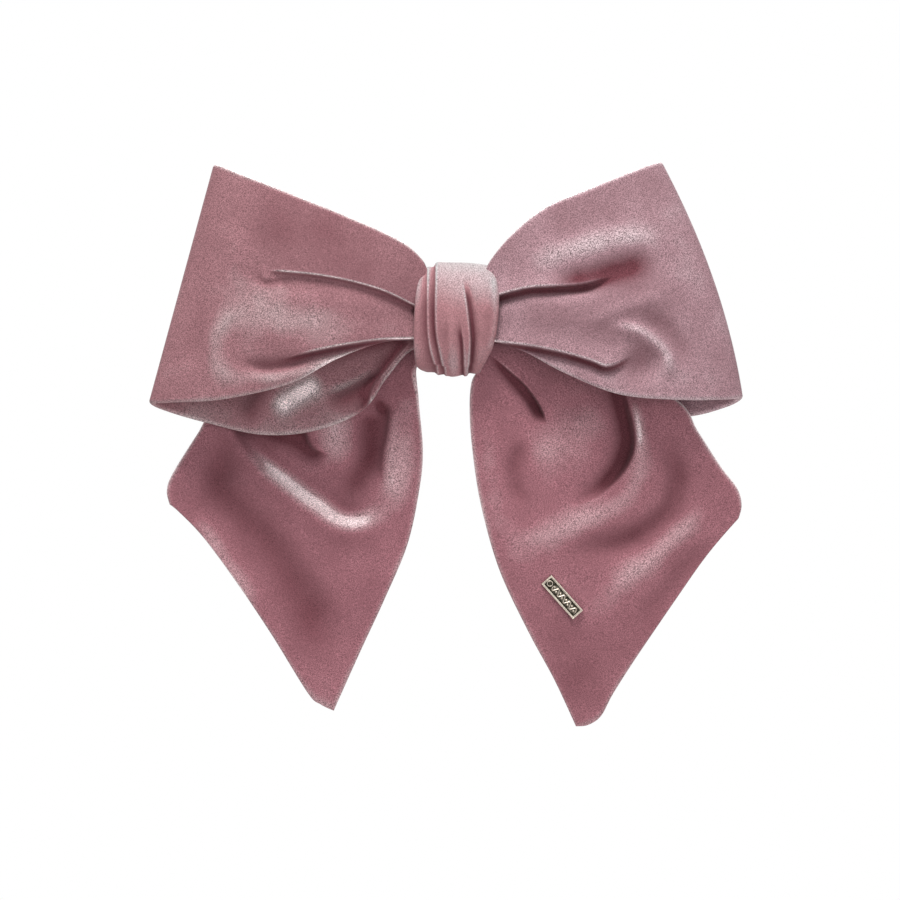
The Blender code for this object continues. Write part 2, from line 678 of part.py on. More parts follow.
def tag_pin(gilt, frame):
    """Headed pin through the tag's upper end and into the cloth."""
    seat = TAG_RECESS - TAG_THICK - GAP
    head_r, top, bevel = TAG_PIN_HEAD_R, seat - TAG_PIN_HEAD, TAG_PIN_BEVEL
    profile = [(0, top), (head_r - bevel, top), (head_r, top + bevel), (head_r, seat)]
    profile += [(TAG_PIN_R, seat), (TAG_PIN_R, TAG_PIN_DEPTH - TAG_PIN_POINT), (0, TAG_PIN_DEPTH)]
    pin = turned(profile)
    upright = Matrix.Rotation(-math.pi / 2, 4, "X")
    along = Matrix.Translation(Vector((TAG_PIN_AT, 0, 0)))
    return add_object("tag_pin", place(pin, frame @ along @ upright), gilt)


def cut_tag_holes(tail, frame):
    """Slots in the tail for the tag's prongs, and a hole for its pin."""
    front = -CLOTH
    hole = circle((TAG_PIN_AT, 0), TAG_PIN_R + SOFT_GAP)
    bore = tag_tool("pin_bore", hole, front, TAG_PIN_DEPTH + SOFT_GAP, frame)
    boolean(tail, bore, "DIFFERENCE")
    for side, name in ((-1, "slot_upper"), (1, "slot_lower")):
        slot = tag_tool(name, prong_outline(side, SOFT_GAP), front, PRONG[2] + SOFT_GAP, frame)
        boolean(tail, slot, "DIFFERENCE")


def main():
    clear_scene()
    velvet = material("velvet", (0.40, 0.19, 0.22), 0.9)
    cotton = material("thread", (0.42, 0.22, 0.25), 0.8)
    steel = material("clip_steel", (0.62, 0.61, 0.60), 0.3, 1.0)
    spring_steel = material("spring_steel", (0.50, 0.50, 0.50), 0.25, 1.0)
    gilt = material("tag_metal", (0.72, 0.64, 0.50), 0.3, 1.0)

    base_bar(steel)
    hinge_pin(steel)
    clip_arm(steel)
    tension_spring(spring_steel)
    latch_base(spring_steel)
    latch_rivet(steel)
    latch_leaf("latch_leaf_upper", 1, spring_steel)
    latch_leaf("latch_leaf_lower", -1, spring_steel)

    cloth_piece("left_loop", LEFT_LOOP, velvet)
    cloth_piece("right_loop", RIGHT_LOOP, velvet)
    cloth_piece("left_tail", LEFT_TAIL, velvet)
    right_tail = cloth_piece("right_tail", RIGHT_TAIL, velvet)
    knot_wrap(velvet)
    gather_binding(cotton)
    closing_stitch(cotton)
    bar_lashing("lashing_left", -1, cotton)
    bar_lashing("lashing_right", 1, cotton)

    frame = tag_frame()
    tag_plate(gilt, frame)
    tag_pin(gilt, frame)
    cut_tag_holes(right_tail, frame)


main()
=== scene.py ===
"""Looks of the velvet bow barrette: sculpted velvet cloth, knot, tag, threads and metal finishes.

X is right, Z is up, -Y faces the viewer.
"""

import json
import math
from collections import namedtuple

import bpy
import numpy as np
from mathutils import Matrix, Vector


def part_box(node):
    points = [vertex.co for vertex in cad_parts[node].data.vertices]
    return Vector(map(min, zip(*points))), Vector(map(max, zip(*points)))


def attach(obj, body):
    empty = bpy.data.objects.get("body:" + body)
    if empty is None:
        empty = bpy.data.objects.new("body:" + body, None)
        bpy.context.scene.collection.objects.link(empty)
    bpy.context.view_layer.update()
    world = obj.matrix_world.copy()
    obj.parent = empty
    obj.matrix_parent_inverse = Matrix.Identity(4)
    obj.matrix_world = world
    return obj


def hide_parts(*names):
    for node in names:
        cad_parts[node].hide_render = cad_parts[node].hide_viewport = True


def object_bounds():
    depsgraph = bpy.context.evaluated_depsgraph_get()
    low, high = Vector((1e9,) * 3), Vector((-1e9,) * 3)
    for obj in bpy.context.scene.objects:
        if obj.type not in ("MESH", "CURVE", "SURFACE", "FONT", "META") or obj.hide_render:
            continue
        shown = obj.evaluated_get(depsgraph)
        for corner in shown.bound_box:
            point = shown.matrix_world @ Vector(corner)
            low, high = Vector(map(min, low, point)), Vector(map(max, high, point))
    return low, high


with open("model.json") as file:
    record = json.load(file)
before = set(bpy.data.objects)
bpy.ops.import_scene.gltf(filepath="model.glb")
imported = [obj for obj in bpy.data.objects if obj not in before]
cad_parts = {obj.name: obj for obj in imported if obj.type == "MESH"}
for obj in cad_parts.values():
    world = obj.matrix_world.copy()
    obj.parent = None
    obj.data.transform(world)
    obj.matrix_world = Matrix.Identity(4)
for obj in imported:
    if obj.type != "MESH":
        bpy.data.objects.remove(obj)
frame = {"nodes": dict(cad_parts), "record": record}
CAD_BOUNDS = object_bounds()

MM = 0.001
CLOTH_R = 1.15  # half the thickness of the folded velvet
RIM_SAMPLES = 6  # rows of points round a rim's quarter circle
CURVE_SAMPLES = 60  # straight steps that stand for a fold's curve
CUT_SAMPLES = 200  # and for a tail's cut edge
STATION_SAMPLES = 1200  # lines of the smooth surface through the stations

# The pile's paleness, which also carries painted light and shade: 0 is the deepest tone, 1 is brushed
# silver.
PAINTED_TOP_LIGHT = 0.22  # painted top light: how much paler the pile is where the cloth faces up
PAINTED_UNDER_SHADE = 0.20  # painted under shade: how much deeper where it faces down
PAINTED_RIM_SHEEN = 0.38  # painted sheen: how much paler the pile is at the cloth's rims
PAINTED_RIM_SHEEN_WIDTH = 0.9  # how far in from a rim that painted sheen reaches
PILE_BEHIND = 0.35  # share of the folds' painted light and tones on faces that look away from the viewer
CREST_HIGHLIGHT_BACK = 0.42  # how far behind a pleat's edge its crest's painted highlight lies
CREST_HIGHLIGHT_WIDTH = 0.34  # half width of that painted highlight's pale line
WALL_PAINTED_SHADE = 0.20  # extra painted shade on the wall below a pleat's crest
FOOT_SHADE_SHARE = 0.6  # how far the painted shade at a pleat's foot reaches, as a share of its drop
LEFT_LOOP_TONE, RIGHT_LOOP_TONE = 0.47, 0.48
LEFT_TAIL_TONE, RIGHT_TAIL_TONE = 0.45, 0.48
KNOT_TONE = 0.44

LOOP_GRID = (260, 180)  # points along and across each loop's band
TAIL_GRID = (220, 150)
KNOT_GRID = (230, 110)  # points round and across the wrap

# A station is a line across the cloth: edge points (x, z), depth y, belly in y, sweep in x.
Station = namedtuple("Station", "edge_a edge_b depth belly sweep", defaults=(0.0, 0.0))

LEFT_LOOP = [
    Station((-0.3, 9.5), (-0.3, -8.0), -20.4),
    Station((-7.6, 12.5), (-8.0, -7.5), -20.4),
    Station((-10.6, 17.8), (-13.0, -7.0), -21.3, -0.5),
    Station((-17.8, 23.5), (-22.9, -7.9), -24.4, -1.0),
    Station((-33.8, 30.4), (-36.0, -13.0), -27.0, -1.2),
    Station((-50.0, 37.0), (-50.4, -20.5), -27.0, -1.2),
    Station((-61.5, 42.0), (-70.5, -25.0), -24.3, -1.0),
    Station((-70.0, 45.8), (-87.0, -25.9), -19.8, -0.5),
    Station((-72.8, 46.8), (-92.8, -26.4), -16.5),
    Station((-71.3, 45.2), (-88.2, -28.6), -13.0, 0.4),
    Station((-62.0, 41.0), (-77.3, -31.8), -10.2, 1.0),
    Station((-50.0, 35.0), (-60.0, -35.6), -9.3, 1.0),
    Station((-38.0, 28.5), (-43.5, -34.4), -9.3, 1.0),
    Station((-26.0, 22.0), (-29.0, -28.4), -10.9, 0.6),
    Station((-18.0, 17.0), (-21.5, -18.5), -12.9),
    Station((-12.5, 12.5), (-13.0, -9.5), -14.6),
    Station((-0.3, 9.5), (-0.3, -8.5), -15.3),
]

RIGHT_LOOP = [
    Station((0.3, 9.5), (0.3, -8.0), -20.4),
    Station((7.6, 12.0), (8.0, -7.5), -20.4),
    Station((11.0, 17.9), (12.2, -7.6), -21.3, -0.5),
    Station((17.8, 25.6), (21.1, -10.7), -24.4, -1.0),
    Station((26.8, 32.7), (32.5, -17.0), -27.0, -1.2),
    Station((39.1, 38.1), (48.9, -23.5), -27.6, -1.2, 0.5),
    Station((51.0, 43.2), (67.2, -25.2), -25.4, -1.0, 1.9),
    Station((59.3, 46.7), (81.3, -25.0), -20.3, -0.5, 3.0),
    Station((61.7, 47.4), (86.6, -24.8), -16.5, 0.0, 3.5),
    Station((59.8, 46.4), (83.4, -27.0), -13.0, 0.4, 3.2),
    Station((52.0, 42.0), (71.8, -30.0), -9.8, 1.0, 2.0),
    Station((40.0, 36.5), (55.0, -30.0), -8.5, 1.0),
    Station((28.0, 30.5), (38.0, -26.5), -8.3, 0.6),
    Station((19.0, 23.0), (25.0, -19.0), -9.0),
    Station((12.5, 13.0), (13.0, -11.0), -10.0),
    Station((0.3, 9.5), (0.3, -8.5), -10.1),
]

LEFT_TAIL = [
    Station((-0.3, 9.5), (-0.3, -8.5), -10.1),
    Station((-13.0, 0.0), (-11.9, -14.5), -9.7),
    Station((-27.0, -8.0), (-11.5, -25.0), -7.0),
    Station((-50.0, -12.5), (-10.2, -40.0), -5.0),
    Station((-71.4, -22.5), (-11.2, -52.0), -5.2, -0.5),
    Station((-80.2, -35.6), (-14.9, -69.3), -6.0, -1.0),
    Station((-87.6, -47.6), (-21.8, -85.8), -6.8, -1.2),
    Station((-89.3, -52.8), (-29.7, -102.8), -7.5, -1.0),
    Station((-88.4, -57.0), (-37.7, -120.6), -8.2, -0.5),
]
LEFT_CUT = [(-88.4, -57.0), (-85.3, -59.6), (-77.7, -67.5), (-67.5, -81.3), (-56.9, -97.2),
            (-45.7, -115.3), (-41.8, -118.8), (-37.7, -120.8)]

RIGHT_TAIL = [
    Station((0.3, 9.5), (0.3, -8.5), -15.3),
    Station((13.0, -2.0), (7.5, -13.0), -15.4),
    Station((27.0, -8.5), (4.8, -19.5), -15.6),
    Station((46.0, -15.5), (4.2, -28.0), -15.4),
    Station((67.7, -25.0), (5.0, -39.9), -14.6, -0.3),
    Station((74.2, -34.6), (7.6, -56.8), -14.0, -0.8),
    Station((81.2, -45.3), (13.2, -76.7), -13.4, -1.2),
    Station((86.5, -52.2), (22.0, -95.6), -12.8, -1.0),
    Station((87.9, -57.3), (30.2, -110.8), -12.2, -0.8),
    Station((87.0, -61.2), (36.9, -125.2), -11.8, -0.5),
]
RIGHT_CUT = [(86.8, -61.0), (77.8, -71.7), (67.3, -86.6), (55.8, -103.4), (48.4, -115.0),
             (44.6, -122.0), (40.6, -124.8), (36.9, -125.2)]


# ---- curves and fields ----
def catmull_rom(values, positions):
    """Rows of values read at fractional indices, on a smooth curve through every row."""
    values = np.asarray(values, float)
    last = len(values) - 1
    start = np.clip(np.floor(positions).astype(int), 0, last - 1)
    t = (positions - start)[:, None]
    a, b, c, d = (values[np.clip(start + k, 0, last)] for k in (-1, 0, 1, 2))
    return 0.5 * (
        2 * b + (c - a) * t + (2 * a - 5 * b + 4 * c - d) * t**2
        + (3 * b - a - 3 * c + d) * t**3
    )


def even_curve(points, count):
    """A smooth curve through the points, read at even distances along it."""
    points = np.asarray(points, float)
    per_span = 40
    dense = catmull_rom(points, np.linspace(0, len(points) - 1, per_span * len(points)))
    length = np.concatenate([[0], np.cumsum(np.linalg.norm(np.diff(dense, axis=0), axis=1))])
    wanted = np.linspace(0, length[-1], count)
    return np.stack([np.interp(wanted, length, dense[:, k]) for k in range(dense.shape[1])], 1)


def smoothstep(value, low, high):
    """0 below low, 1 above high, and smooth between."""
    t = np.clip((value - low) / (high - low), 0.0, 1.0)
    return t * t * (3 - 2 * t)


def along_curve(points, plan):
    """For each (x, z) in plan: signed distance to the curve, positive on its left, and 0..1 along it."""
    line = even_curve(points, CURVE_SAMPLES)
    start, step = line[:-1], np.diff(line, axis=0)
    flat = plan.reshape(-1, 2)
    best = np.full(len(flat), np.inf)
    signed, share = np.zeros(len(flat)), np.zeros(len(flat))
    for k, (origin, span) in enumerate(zip(start, step)):
        offset = flat - origin
        t = np.clip(offset @ span / (span @ span), 0, 1)
        away = np.hypot(*(offset - t[:, None] * span).T)
        nearer = away < best
        best[nearer] = away[nearer]
        side = np.sign(span[0] * offset[:, 1] - span[1] * offset[:, 0])
        signed[nearer] = (away * side)[nearer]
        share[nearer] = ((k + t) / len(step))[nearer]
    return signed.reshape(plan.shape[:-1]), share.reshape(plan.shape[:-1])


def fade_ends(share, fade_in, fade_out):
    """1 along a fold, falling smoothly to 0 over the given shares at its ends."""
    rise = smoothstep(share, 0, fade_in) if fade_in else np.ones_like(share)
    fall = 1 - smoothstep(share, 1 - fade_out, 1) if fade_out else np.ones_like(share)
    return rise * fall


def crease(points, high, low, reach_high, reach_low, edge=0.5, fade=(0.0, 0.35), left_low=True,
           rim=0.5, shade=0.4):
    """A pleat's edge: the cloth stands proud on one side of the curve and drops on the other.

    high and low are its rise and its drop, reach_high and reach_low how far each dies away, and edge
    how soft the step between them is. left_low puts the drop on the curve's left. fade is the share of
    the curve over which the pleat starts and ends.

    Every field gives, for each point, the relief towards the viewer in millimetres and the change of
    the pile's paleness, which paints light and shade. Here the crest is pale, a painted highlight where
    the pile opens over the fold, with rim its strength, and its foot deep, painted shade set by shade.
    """

    def field(plan):
        signed, share = along_curve(points, plan)
        signed = signed if left_low else -signed
        lower = 0.5 + 0.5 * np.tanh(signed / edge)
        raised = high * np.exp(-((np.minimum(signed, 0) / reach_high) ** 2))
        sunk = -low * np.exp(-((np.maximum(signed, 0) / reach_low) ** 2))
        relief = raised * (1 - lower) + sunk * lower
        # painted highlight along the crest
        crest_highlight = rim * np.exp(-(((signed + CREST_HIGHLIGHT_BACK) / CREST_HIGHLIGHT_WIDTH) ** 2))
        fall = np.maximum(signed - edge, 0) / (FOOT_SHADE_SHARE * reach_low)
        # painted shade on the wall and at the foot
        foot_shade = (shade + WALL_PAINTED_SHADE) * smoothstep(signed, -1.2 * edge, 0.1 * edge) * np.exp(-(fall**2))
        return np.stack([relief, crest_highlight - foot_shade], -1) * fade_ends(share, *fade)[..., None]

    return field


def roll(points, height, width, fade=(0.2, 0.3), width_end=None, tone=0.0):
    """A soft ridge (height above 0) or valley (below 0) along the curve, paler or deeper by tone.

    width is half its width, which changes to width_end along the curve where that is given.
    """

    def field(plan):
        signed, share = along_curve(points, plan)
        across = width + ((width if width_end is None else width_end) - width) * share
        shape = np.exp(-((signed / across) ** 2)) * fade_ends(share, *fade)
        return np.stack([height * shape, tone * shape], -1)

    return field


def dent(centre, radii, angle, height, tone=0.0):
    """A soft oval bump (height above 0) or dimple (below 0), paler or deeper by tone."""

    def field(plan):
        x, z = plan[..., 0] - centre[0], plan[..., 1] - centre[1]
        c, s = math.cos(angle), math.sin(angle)
        along, across = (x * c + z * s) / radii[0], (z * c - x * s) / radii[1]
        shape = np.exp(-(along**2 + across**2))
        return np.stack([height * shape, tone * shape], -1)

    return field


# ---- cloth meshes ----
def rim_steps(radius):
    """Distances from an edge at which its rounded rim is sampled."""
    return radius * (1 - np.cos(np.linspace(0, math.pi / 2, RIM_SAMPLES)))


def across_steps(width, columns, radius):
    """Distances across a band of each width: close together in both rims, even between them."""
    rim = rim_steps(radius)
    inner = np.linspace(0, 1, columns - 2 * len(rim) + 2)[1:-1]
    return np.concatenate([
        np.repeat(rim[None], len(width), 0),
        rim[-1] + inner[None] * (width[:, None] - 2 * rim[-1]),
        width[:, None] - rim[::-1][None],
    ], 1)


def half_thickness(from_rim, radius):
    """Half the thickness of a sheet at a distance from its rim, on a round edge of that radius."""
    reach = np.minimum(from_rim, radius)
    return np.sqrt(np.maximum(radius**2 - (radius - reach) ** 2, 0.0))


def grid_quads(grid, flip):
    """Four-cornered faces between neighbouring points of a grid of point numbers."""
    corners = (grid[:-1, :-1], grid[:-1, 1:], grid[1:, 1:], grid[1:, :-1])
    return np.stack(corners[::-1] if flip else corners, -1).reshape(-1, 4)


def station_surface(stations, rows, columns, cut=None, round_end=True):
    """Middle surface of the cloth, the distance from its rim, and 0..1 along it, row by row.

    The last row follows the line cut where it is given, and is a rounded rim where round_end is set.
    """
    numbers = [(*s.edge_a, *s.edge_b, s.depth, s.belly, s.sweep) for s in stations]
    dense = catmull_rom(numbers, np.linspace(0, len(numbers) - 1, STATION_SAMPLES))
    middle = np.c_[(dense[:, 0:2] + dense[:, 2:4]) / 2, dense[:, 4]]
    length = np.concatenate([[0], np.cumsum(np.linalg.norm(np.diff(middle, axis=0), axis=1))])
    wanted = np.linspace(0, length[-1], rows)
    if round_end:
        rim = rim_steps(CLOTH_R)
        wanted = np.concatenate([
            np.linspace(0, length[-1] - rim[-1], rows - len(rim) + 1)[:-1],
            length[-1] - rim[::-1],
        ])
    line = np.stack([np.interp(wanted, length, column) for column in dense.T], 1)
    edge_a, edge_b = line[:, 0:2], line[:, 2:4]
    depth, belly, sweep = (column[:, None] for column in line[:, 4:].T)
    width = np.hypot(*(edge_b - edge_a).T)
    across = across_steps(width, columns, CLOTH_R)
    u = across / width[:, None]
    crown = 4 * u * (1 - u)
    plan = edge_a[:, None] + (edge_b - edge_a)[:, None] * u[..., None]
    plan[..., 0] += sweep * crown
    if cut is not None:
        edge = even_curve(cut, CUT_SAMPLES)
        shares = np.linspace(0, 1, CUT_SAMPLES)
        target = np.stack([np.interp(u[-1], shares, column) for column in edge.T], 1)
        towards_cut = smoothstep(wanted / wanted[-1], 0.55, 1.0)[:, None, None]
        plan += towards_cut * (target - plan[-1])[None]
    depth = depth + belly * crown
    surface = np.stack([plan[..., 0], depth, plan[..., 1]], -1)
    from_rim = np.minimum(across, width[:, None] - across)
    if round_end:
        from_rim = np.minimum(from_rim, (length[-1] - wanted)[:, None])
    from_rim[0] = 0.0
    from_rim[-1] = 0.0
    return surface, from_rim, wanted / wanted[-1]


def grid_normals(surface):
    """Unit normals of a grid of points."""
    along, across = np.gradient(surface, axis=0), np.gradient(surface, axis=1)
    normal = np.cross(along, across)
    return normal / np.maximum(np.linalg.norm(normal, axis=-1, keepdims=True), 1e-9)


def closed_cloth(name, surface, from_rim, displace, tone, pile_and_painted_light):
    """A closed thick mesh round a middle surface, with rounded rims.

    displace is added to both faces. The material's paleness is tone, changed at each point by
    pile_and_painted_light, the folds' pile change with their painted light and shade, mostly on the face
    towards the viewer.
    """
    rows, columns = surface.shape[:2]
    normals = grid_normals(surface)
    half = half_thickness(from_rim, CLOTH_R)[..., None]
    first = (surface + displace + normals * half).reshape(-1, 3)
    second = (surface + displace - normals * half).reshape(-1, 3)
    index = np.arange(rows * columns).reshape(rows, columns)
    other = index + rows * columns
    other[0], other[-1] = index[0], index[-1]
    other[:, 0], other[:, -1] = index[:, 0], index[:, -1]
    faces = np.concatenate([grid_quads(index, True), grid_quads(other, False)])
    towards = smoothstep(-normals[..., 1], -0.3, 0.3)
    shares = PILE_BEHIND + (1 - PILE_BEHIND) * np.stack([towards, 1 - towards])
    # painted sheen along the cloth's rims
    rim = PAINTED_RIM_SHEEN * np.exp(-((from_rim / PAINTED_RIM_SHEEN_WIDTH) ** 2))
    values = (tone + rim + shares * pile_and_painted_light).ravel()
    return mesh_object(name, np.concatenate([first, second]), faces, values)


def store(mesh, name, values):
    """Keeps one number for each point of the mesh, for its material to read."""
    attribute = mesh.attributes.new(name, "FLOAT", "POINT")
    attribute.data.foreach_set("value", values.astype(np.float32))


def mesh_object(name, points, faces, pile_and_painted_light=None):
    """A smooth-shaded object from points in millimetres; unused points are dropped.

    pile_and_painted_light is the paleness at each point, painted light and shade included, which is
    then raised by painted top light on faces that look up and lowered by painted shade on faces that
    look down.
    """
    used, faces = np.unique(np.asarray(faces), return_inverse=True)
    faces = faces.reshape(-1, 4)
    mesh = bpy.data.meshes.new(name)
    mesh.from_pydata((points[used] * MM).tolist(), [], faces.tolist())
    mesh.validate()
    mesh.shade_smooth()
    if pile_and_painted_light is not None:
        normals = np.zeros(len(mesh.vertices) * 3)
        mesh.vertex_normals.foreach_get("vector", normals)
        rise = normals.reshape(-1, 3)[:, 2]
        # painted top light and painted under shade, from the way each face looks
        painted_light = PAINTED_TOP_LIGHT * np.maximum(rise, 0) ** 1.5 - PAINTED_UNDER_SHADE * np.maximum(-rise, 0)
        store(mesh, "pile_and_painted_light", np.clip(pile_and_painted_light[used] + painted_light, 0, 1))
    return link(name, mesh)


# ---- the folds of each piece ----
# The folds' tones paint light and shade on the pile: pale tones are painted highlights, deep tones
# painted shade in hollows and under pleats, with some of the pile's own brushed tone.
LEFT_LOOP_FRONT = [
    # upper pleat's edge, from the knot to the small tick that ends it
    crease([(-8, 1.0), (-12.9, 3.1), (-21.7, 7.2), (-31.1, 9.9), (-40.4, 11.7), (-49.2, 12.7),
            (-57.0, 13.3)], 0.9, 0.85, 9.0, 4.0, edge=0.25, fade=(0.0, 0.12), rim=0.58, shade=-0.16),
    # painted shade under the upper pleat, near the knot
    roll([(-10, 0.6), (-16, 3.6), (-23, 6.4), (-32, 8.6)], -0.3, 1.3, (0.1, 0.5), tone=-0.18),
    crease([(-58.5, 14.5), (-58.6, 12.6), (-57.0, 10.6), (-53.0, 11.2), (-49.0, 12.4)],
           0.15, 0.6, 2.0, 2.6, edge=0.7, fade=(0.3, 0.3), left_low=False, rim=0.10, shade=-0.12),
    roll([(-74, 30), (-66, 20), (-59, 13.5)], 0.7, 5.0, (0.4, 0.3), tone=0.03),
    # long pillow between the two pleats, with a painted highlight on the shoulder round it
    roll([(-15, -1.5), (-30, -1.5), (-45, -2.8), (-58, -5.0), (-66, -9.0)], 1.2, 8.0, (0.3, 0.2),
         tone=0.05),
    roll([(-22, 1.5), (-35, 4.6), (-50, 4.8), (-60, 4.0)], 0.5, 3.6, (0.2, 0.25), 3.0, tone=-0.05),
    roll([(-60, 3.5), (-67, 0.5), (-71.5, -5), (-72.8, -11), (-69, -18), (-60, -20.5)], 0.5, 3.0,
         (0.3, 0.3), tone=0.14),
    # painted shade in a shallow valley at the outer end
    roll([(-79, -18), (-79.5, -8), (-77, 4), (-72, 14)], -1.4, 5.0, (0.3, 0.4), tone=-0.10),
    # lower pleat's edge and the hollow that it curls into, in painted shade, over a lip with a painted
    # highlight
    crease([(-8, -6.4), (-12.9, -6.8), (-22.6, -7.1), (-31.8, -8.5), (-39.3, -10.0), (-46.9, -11.8),
            (-54, -13.6)], 1.0, 2.4, 4.5, 2.2, edge=0.2, fade=(0.0, 0.28), rim=0.44, shade=0.45),
    roll([(-42, -12.0), (-50, -14.4), (-57, -15.4), (-62.5, -14.4), (-66, -10.2)], -1.4, 1.5,
         (0.3, 0.4), 2.2, tone=-0.20),
    roll([(-26, -10.2), (-36, -13.8), (-47, -17.5), (-57, -19.2), (-66, -17.5)], 0.9, 1.5,
         (0.3, 0.3), 2.4, tone=0.20),
    # a deeper patch over the upper field, painted shade, and a pale patch with no relief, a painted
    # highlight
    dent((-40, 23), (30, 11), -0.42, 0.7, -0.20),
    dent((-55, 2.0), (19, 7.5), 0.0, 0.0, 0.14),
]
LEFT_LOOP_BACK = [
    # swells and hollows of the back layer where it shows below the front one, with painted highlights on
    #  the swells and painted shade in the hollows
    roll([(-40, -18), (-46.5, -22.0), (-52.8, -26.0), (-58, -30)], 0.3, 3.9, (0.25, 0.3), tone=0.45),
    roll([(-58, -18), (-61.5, -26), (-65, -33)], -1.6, 2.8, (0.2, 0.3), tone=-0.24),
    roll([(-22, -17), (-31, -22.5), (-40, -26.8)], -2.6, 2.8, (0.2, 0.35), tone=-0.34),
    # tone only, no relief: painted light along the back layer's lower part
    roll([(-88, -28.0), (-72, -30), (-58, -33.5), (-44, -33), (-30, -27)], 0.0, 3.6, (0.1, 0.1),
         tone=0.09),
    roll([(-20, -13.5), (-30, -18.8), (-41, -22.8)], 1.2, 1.7, (0.3, 0.3), tone=0.22),
    crease([(-14, -7), (-19.5, -13.5), (-25.3, -21.5), (-27.5, -30)], 1.6, 1.4, 3.0, 3.6, edge=0.4,
           fade=(0.1, 0.0), left_low=False, rim=0.24, shade=0.3),
    crease([(-14, 2), (-30, 4), (-48, 7), (-60, 10)], 1.4, 1.4, 7, 6, fade=(0.0, 0.4)),
    crease([(-14, -3), (-30, -7), (-44, -12)], 1.2, 1.4, 6, 5, fade=(0.0, 0.4)),
]
RIGHT_LOOP_FRONT = [
    # upper pleat's edge and the hollow above it, in painted shade, with a painted highlight on the ridge
    # above
    crease([(8, 5), (12.9, 6.2), (18, 7.5), (22.8, 8.4), (27.5, 8.6), (32.2, 8.8), (37.5, 9.2),
            (42, 10.2), (48, 12.0)], 1.2, 2.6, 3.2, 3.0, edge=0.2, fade=(0.0, 0.25),
           left_low=False, rim=0.40, shade=0.55),
    roll([(27, 9.6), (36, 10.7), (45, 12.2), (52, 14.2), (61.5, 17.6)], -1.3, 2.4, (0.3, 0.28), 5.0,
         tone=-0.52),
    roll([(20, 14), (34, 19.5), (46, 22.6), (57, 23.4), (67, 20.5)], 0.75, 3.9, (0.25, 0.35), tone=0.23),
    # tone only, no relief: painted shade over the upper field
    dent((42, 34), (26, 8), 0.45, 0.0, -0.10),
    # broad swell between the pleats, with a painted highlight along its crest
    roll([(16, 0), (30, 0.5), (46, 2.5), (62, 6.3), (74, 10)], 0.9, 7.5, (0.25, 0.4), tone=-0.11),
    roll([(37, -3.2), (44, -0.4), (51, 2.7), (58, 4.8), (67, 7.0)], 0.6, 2.4, (0.25, 0.35), tone=0.07),
    # lower pleat, hooking up round a dimple in painted shade, with a painted highlight on the ring round
    # it
    crease([(8, -7.4), (12.4, -7.7), (19, -8.5), (25.6, -9.6), (34.7, -11.8), (40.8, -13.7),
            (44.9, -15.3), (48.9, -14.3), (53, -11.5)], 1.2, 2.4, 3.6, 2.6, edge=0.2,
           fade=(0.0, 0.2), left_low=False, rim=0.46, shade=0.45),
    dent((55.8, -14.5), (6.2, 4.4), 0.9, -2.2, -0.18),
    roll([(44, -3.0), (53.5, -4.4), (58.7, -7.5), (62.8, -11.5), (63.8, -15.8), (63, -20)], 1.8, 2.0,
         (0.35, 0.25), tone=0.22),
    roll([(54, 0.0), (61.5, -3.0), (66.8, -9.5), (68.5, -17)], -1.2, 3.0, (0.3, 0.35), tone=-0.14),
    dent((80, -2), (9, 5), 1.2, -0.8, -0.06),
]
RIGHT_LOOP_BACK = [
    crease([(14, 3), (30, 6), (46, 8), (58, 10)], 1.4, 1.6, 7, 6, fade=(0.0, 0.4)),
    crease([(14, -3), (30, -8), (46, -13)], 1.2, 1.4, 6, 5, fade=(0.0, 0.4)),
    roll([(60, -12), (63, -22), (66, -33)], -1.2, 4.0, (0.3, 0.0), tone=-0.2),
]
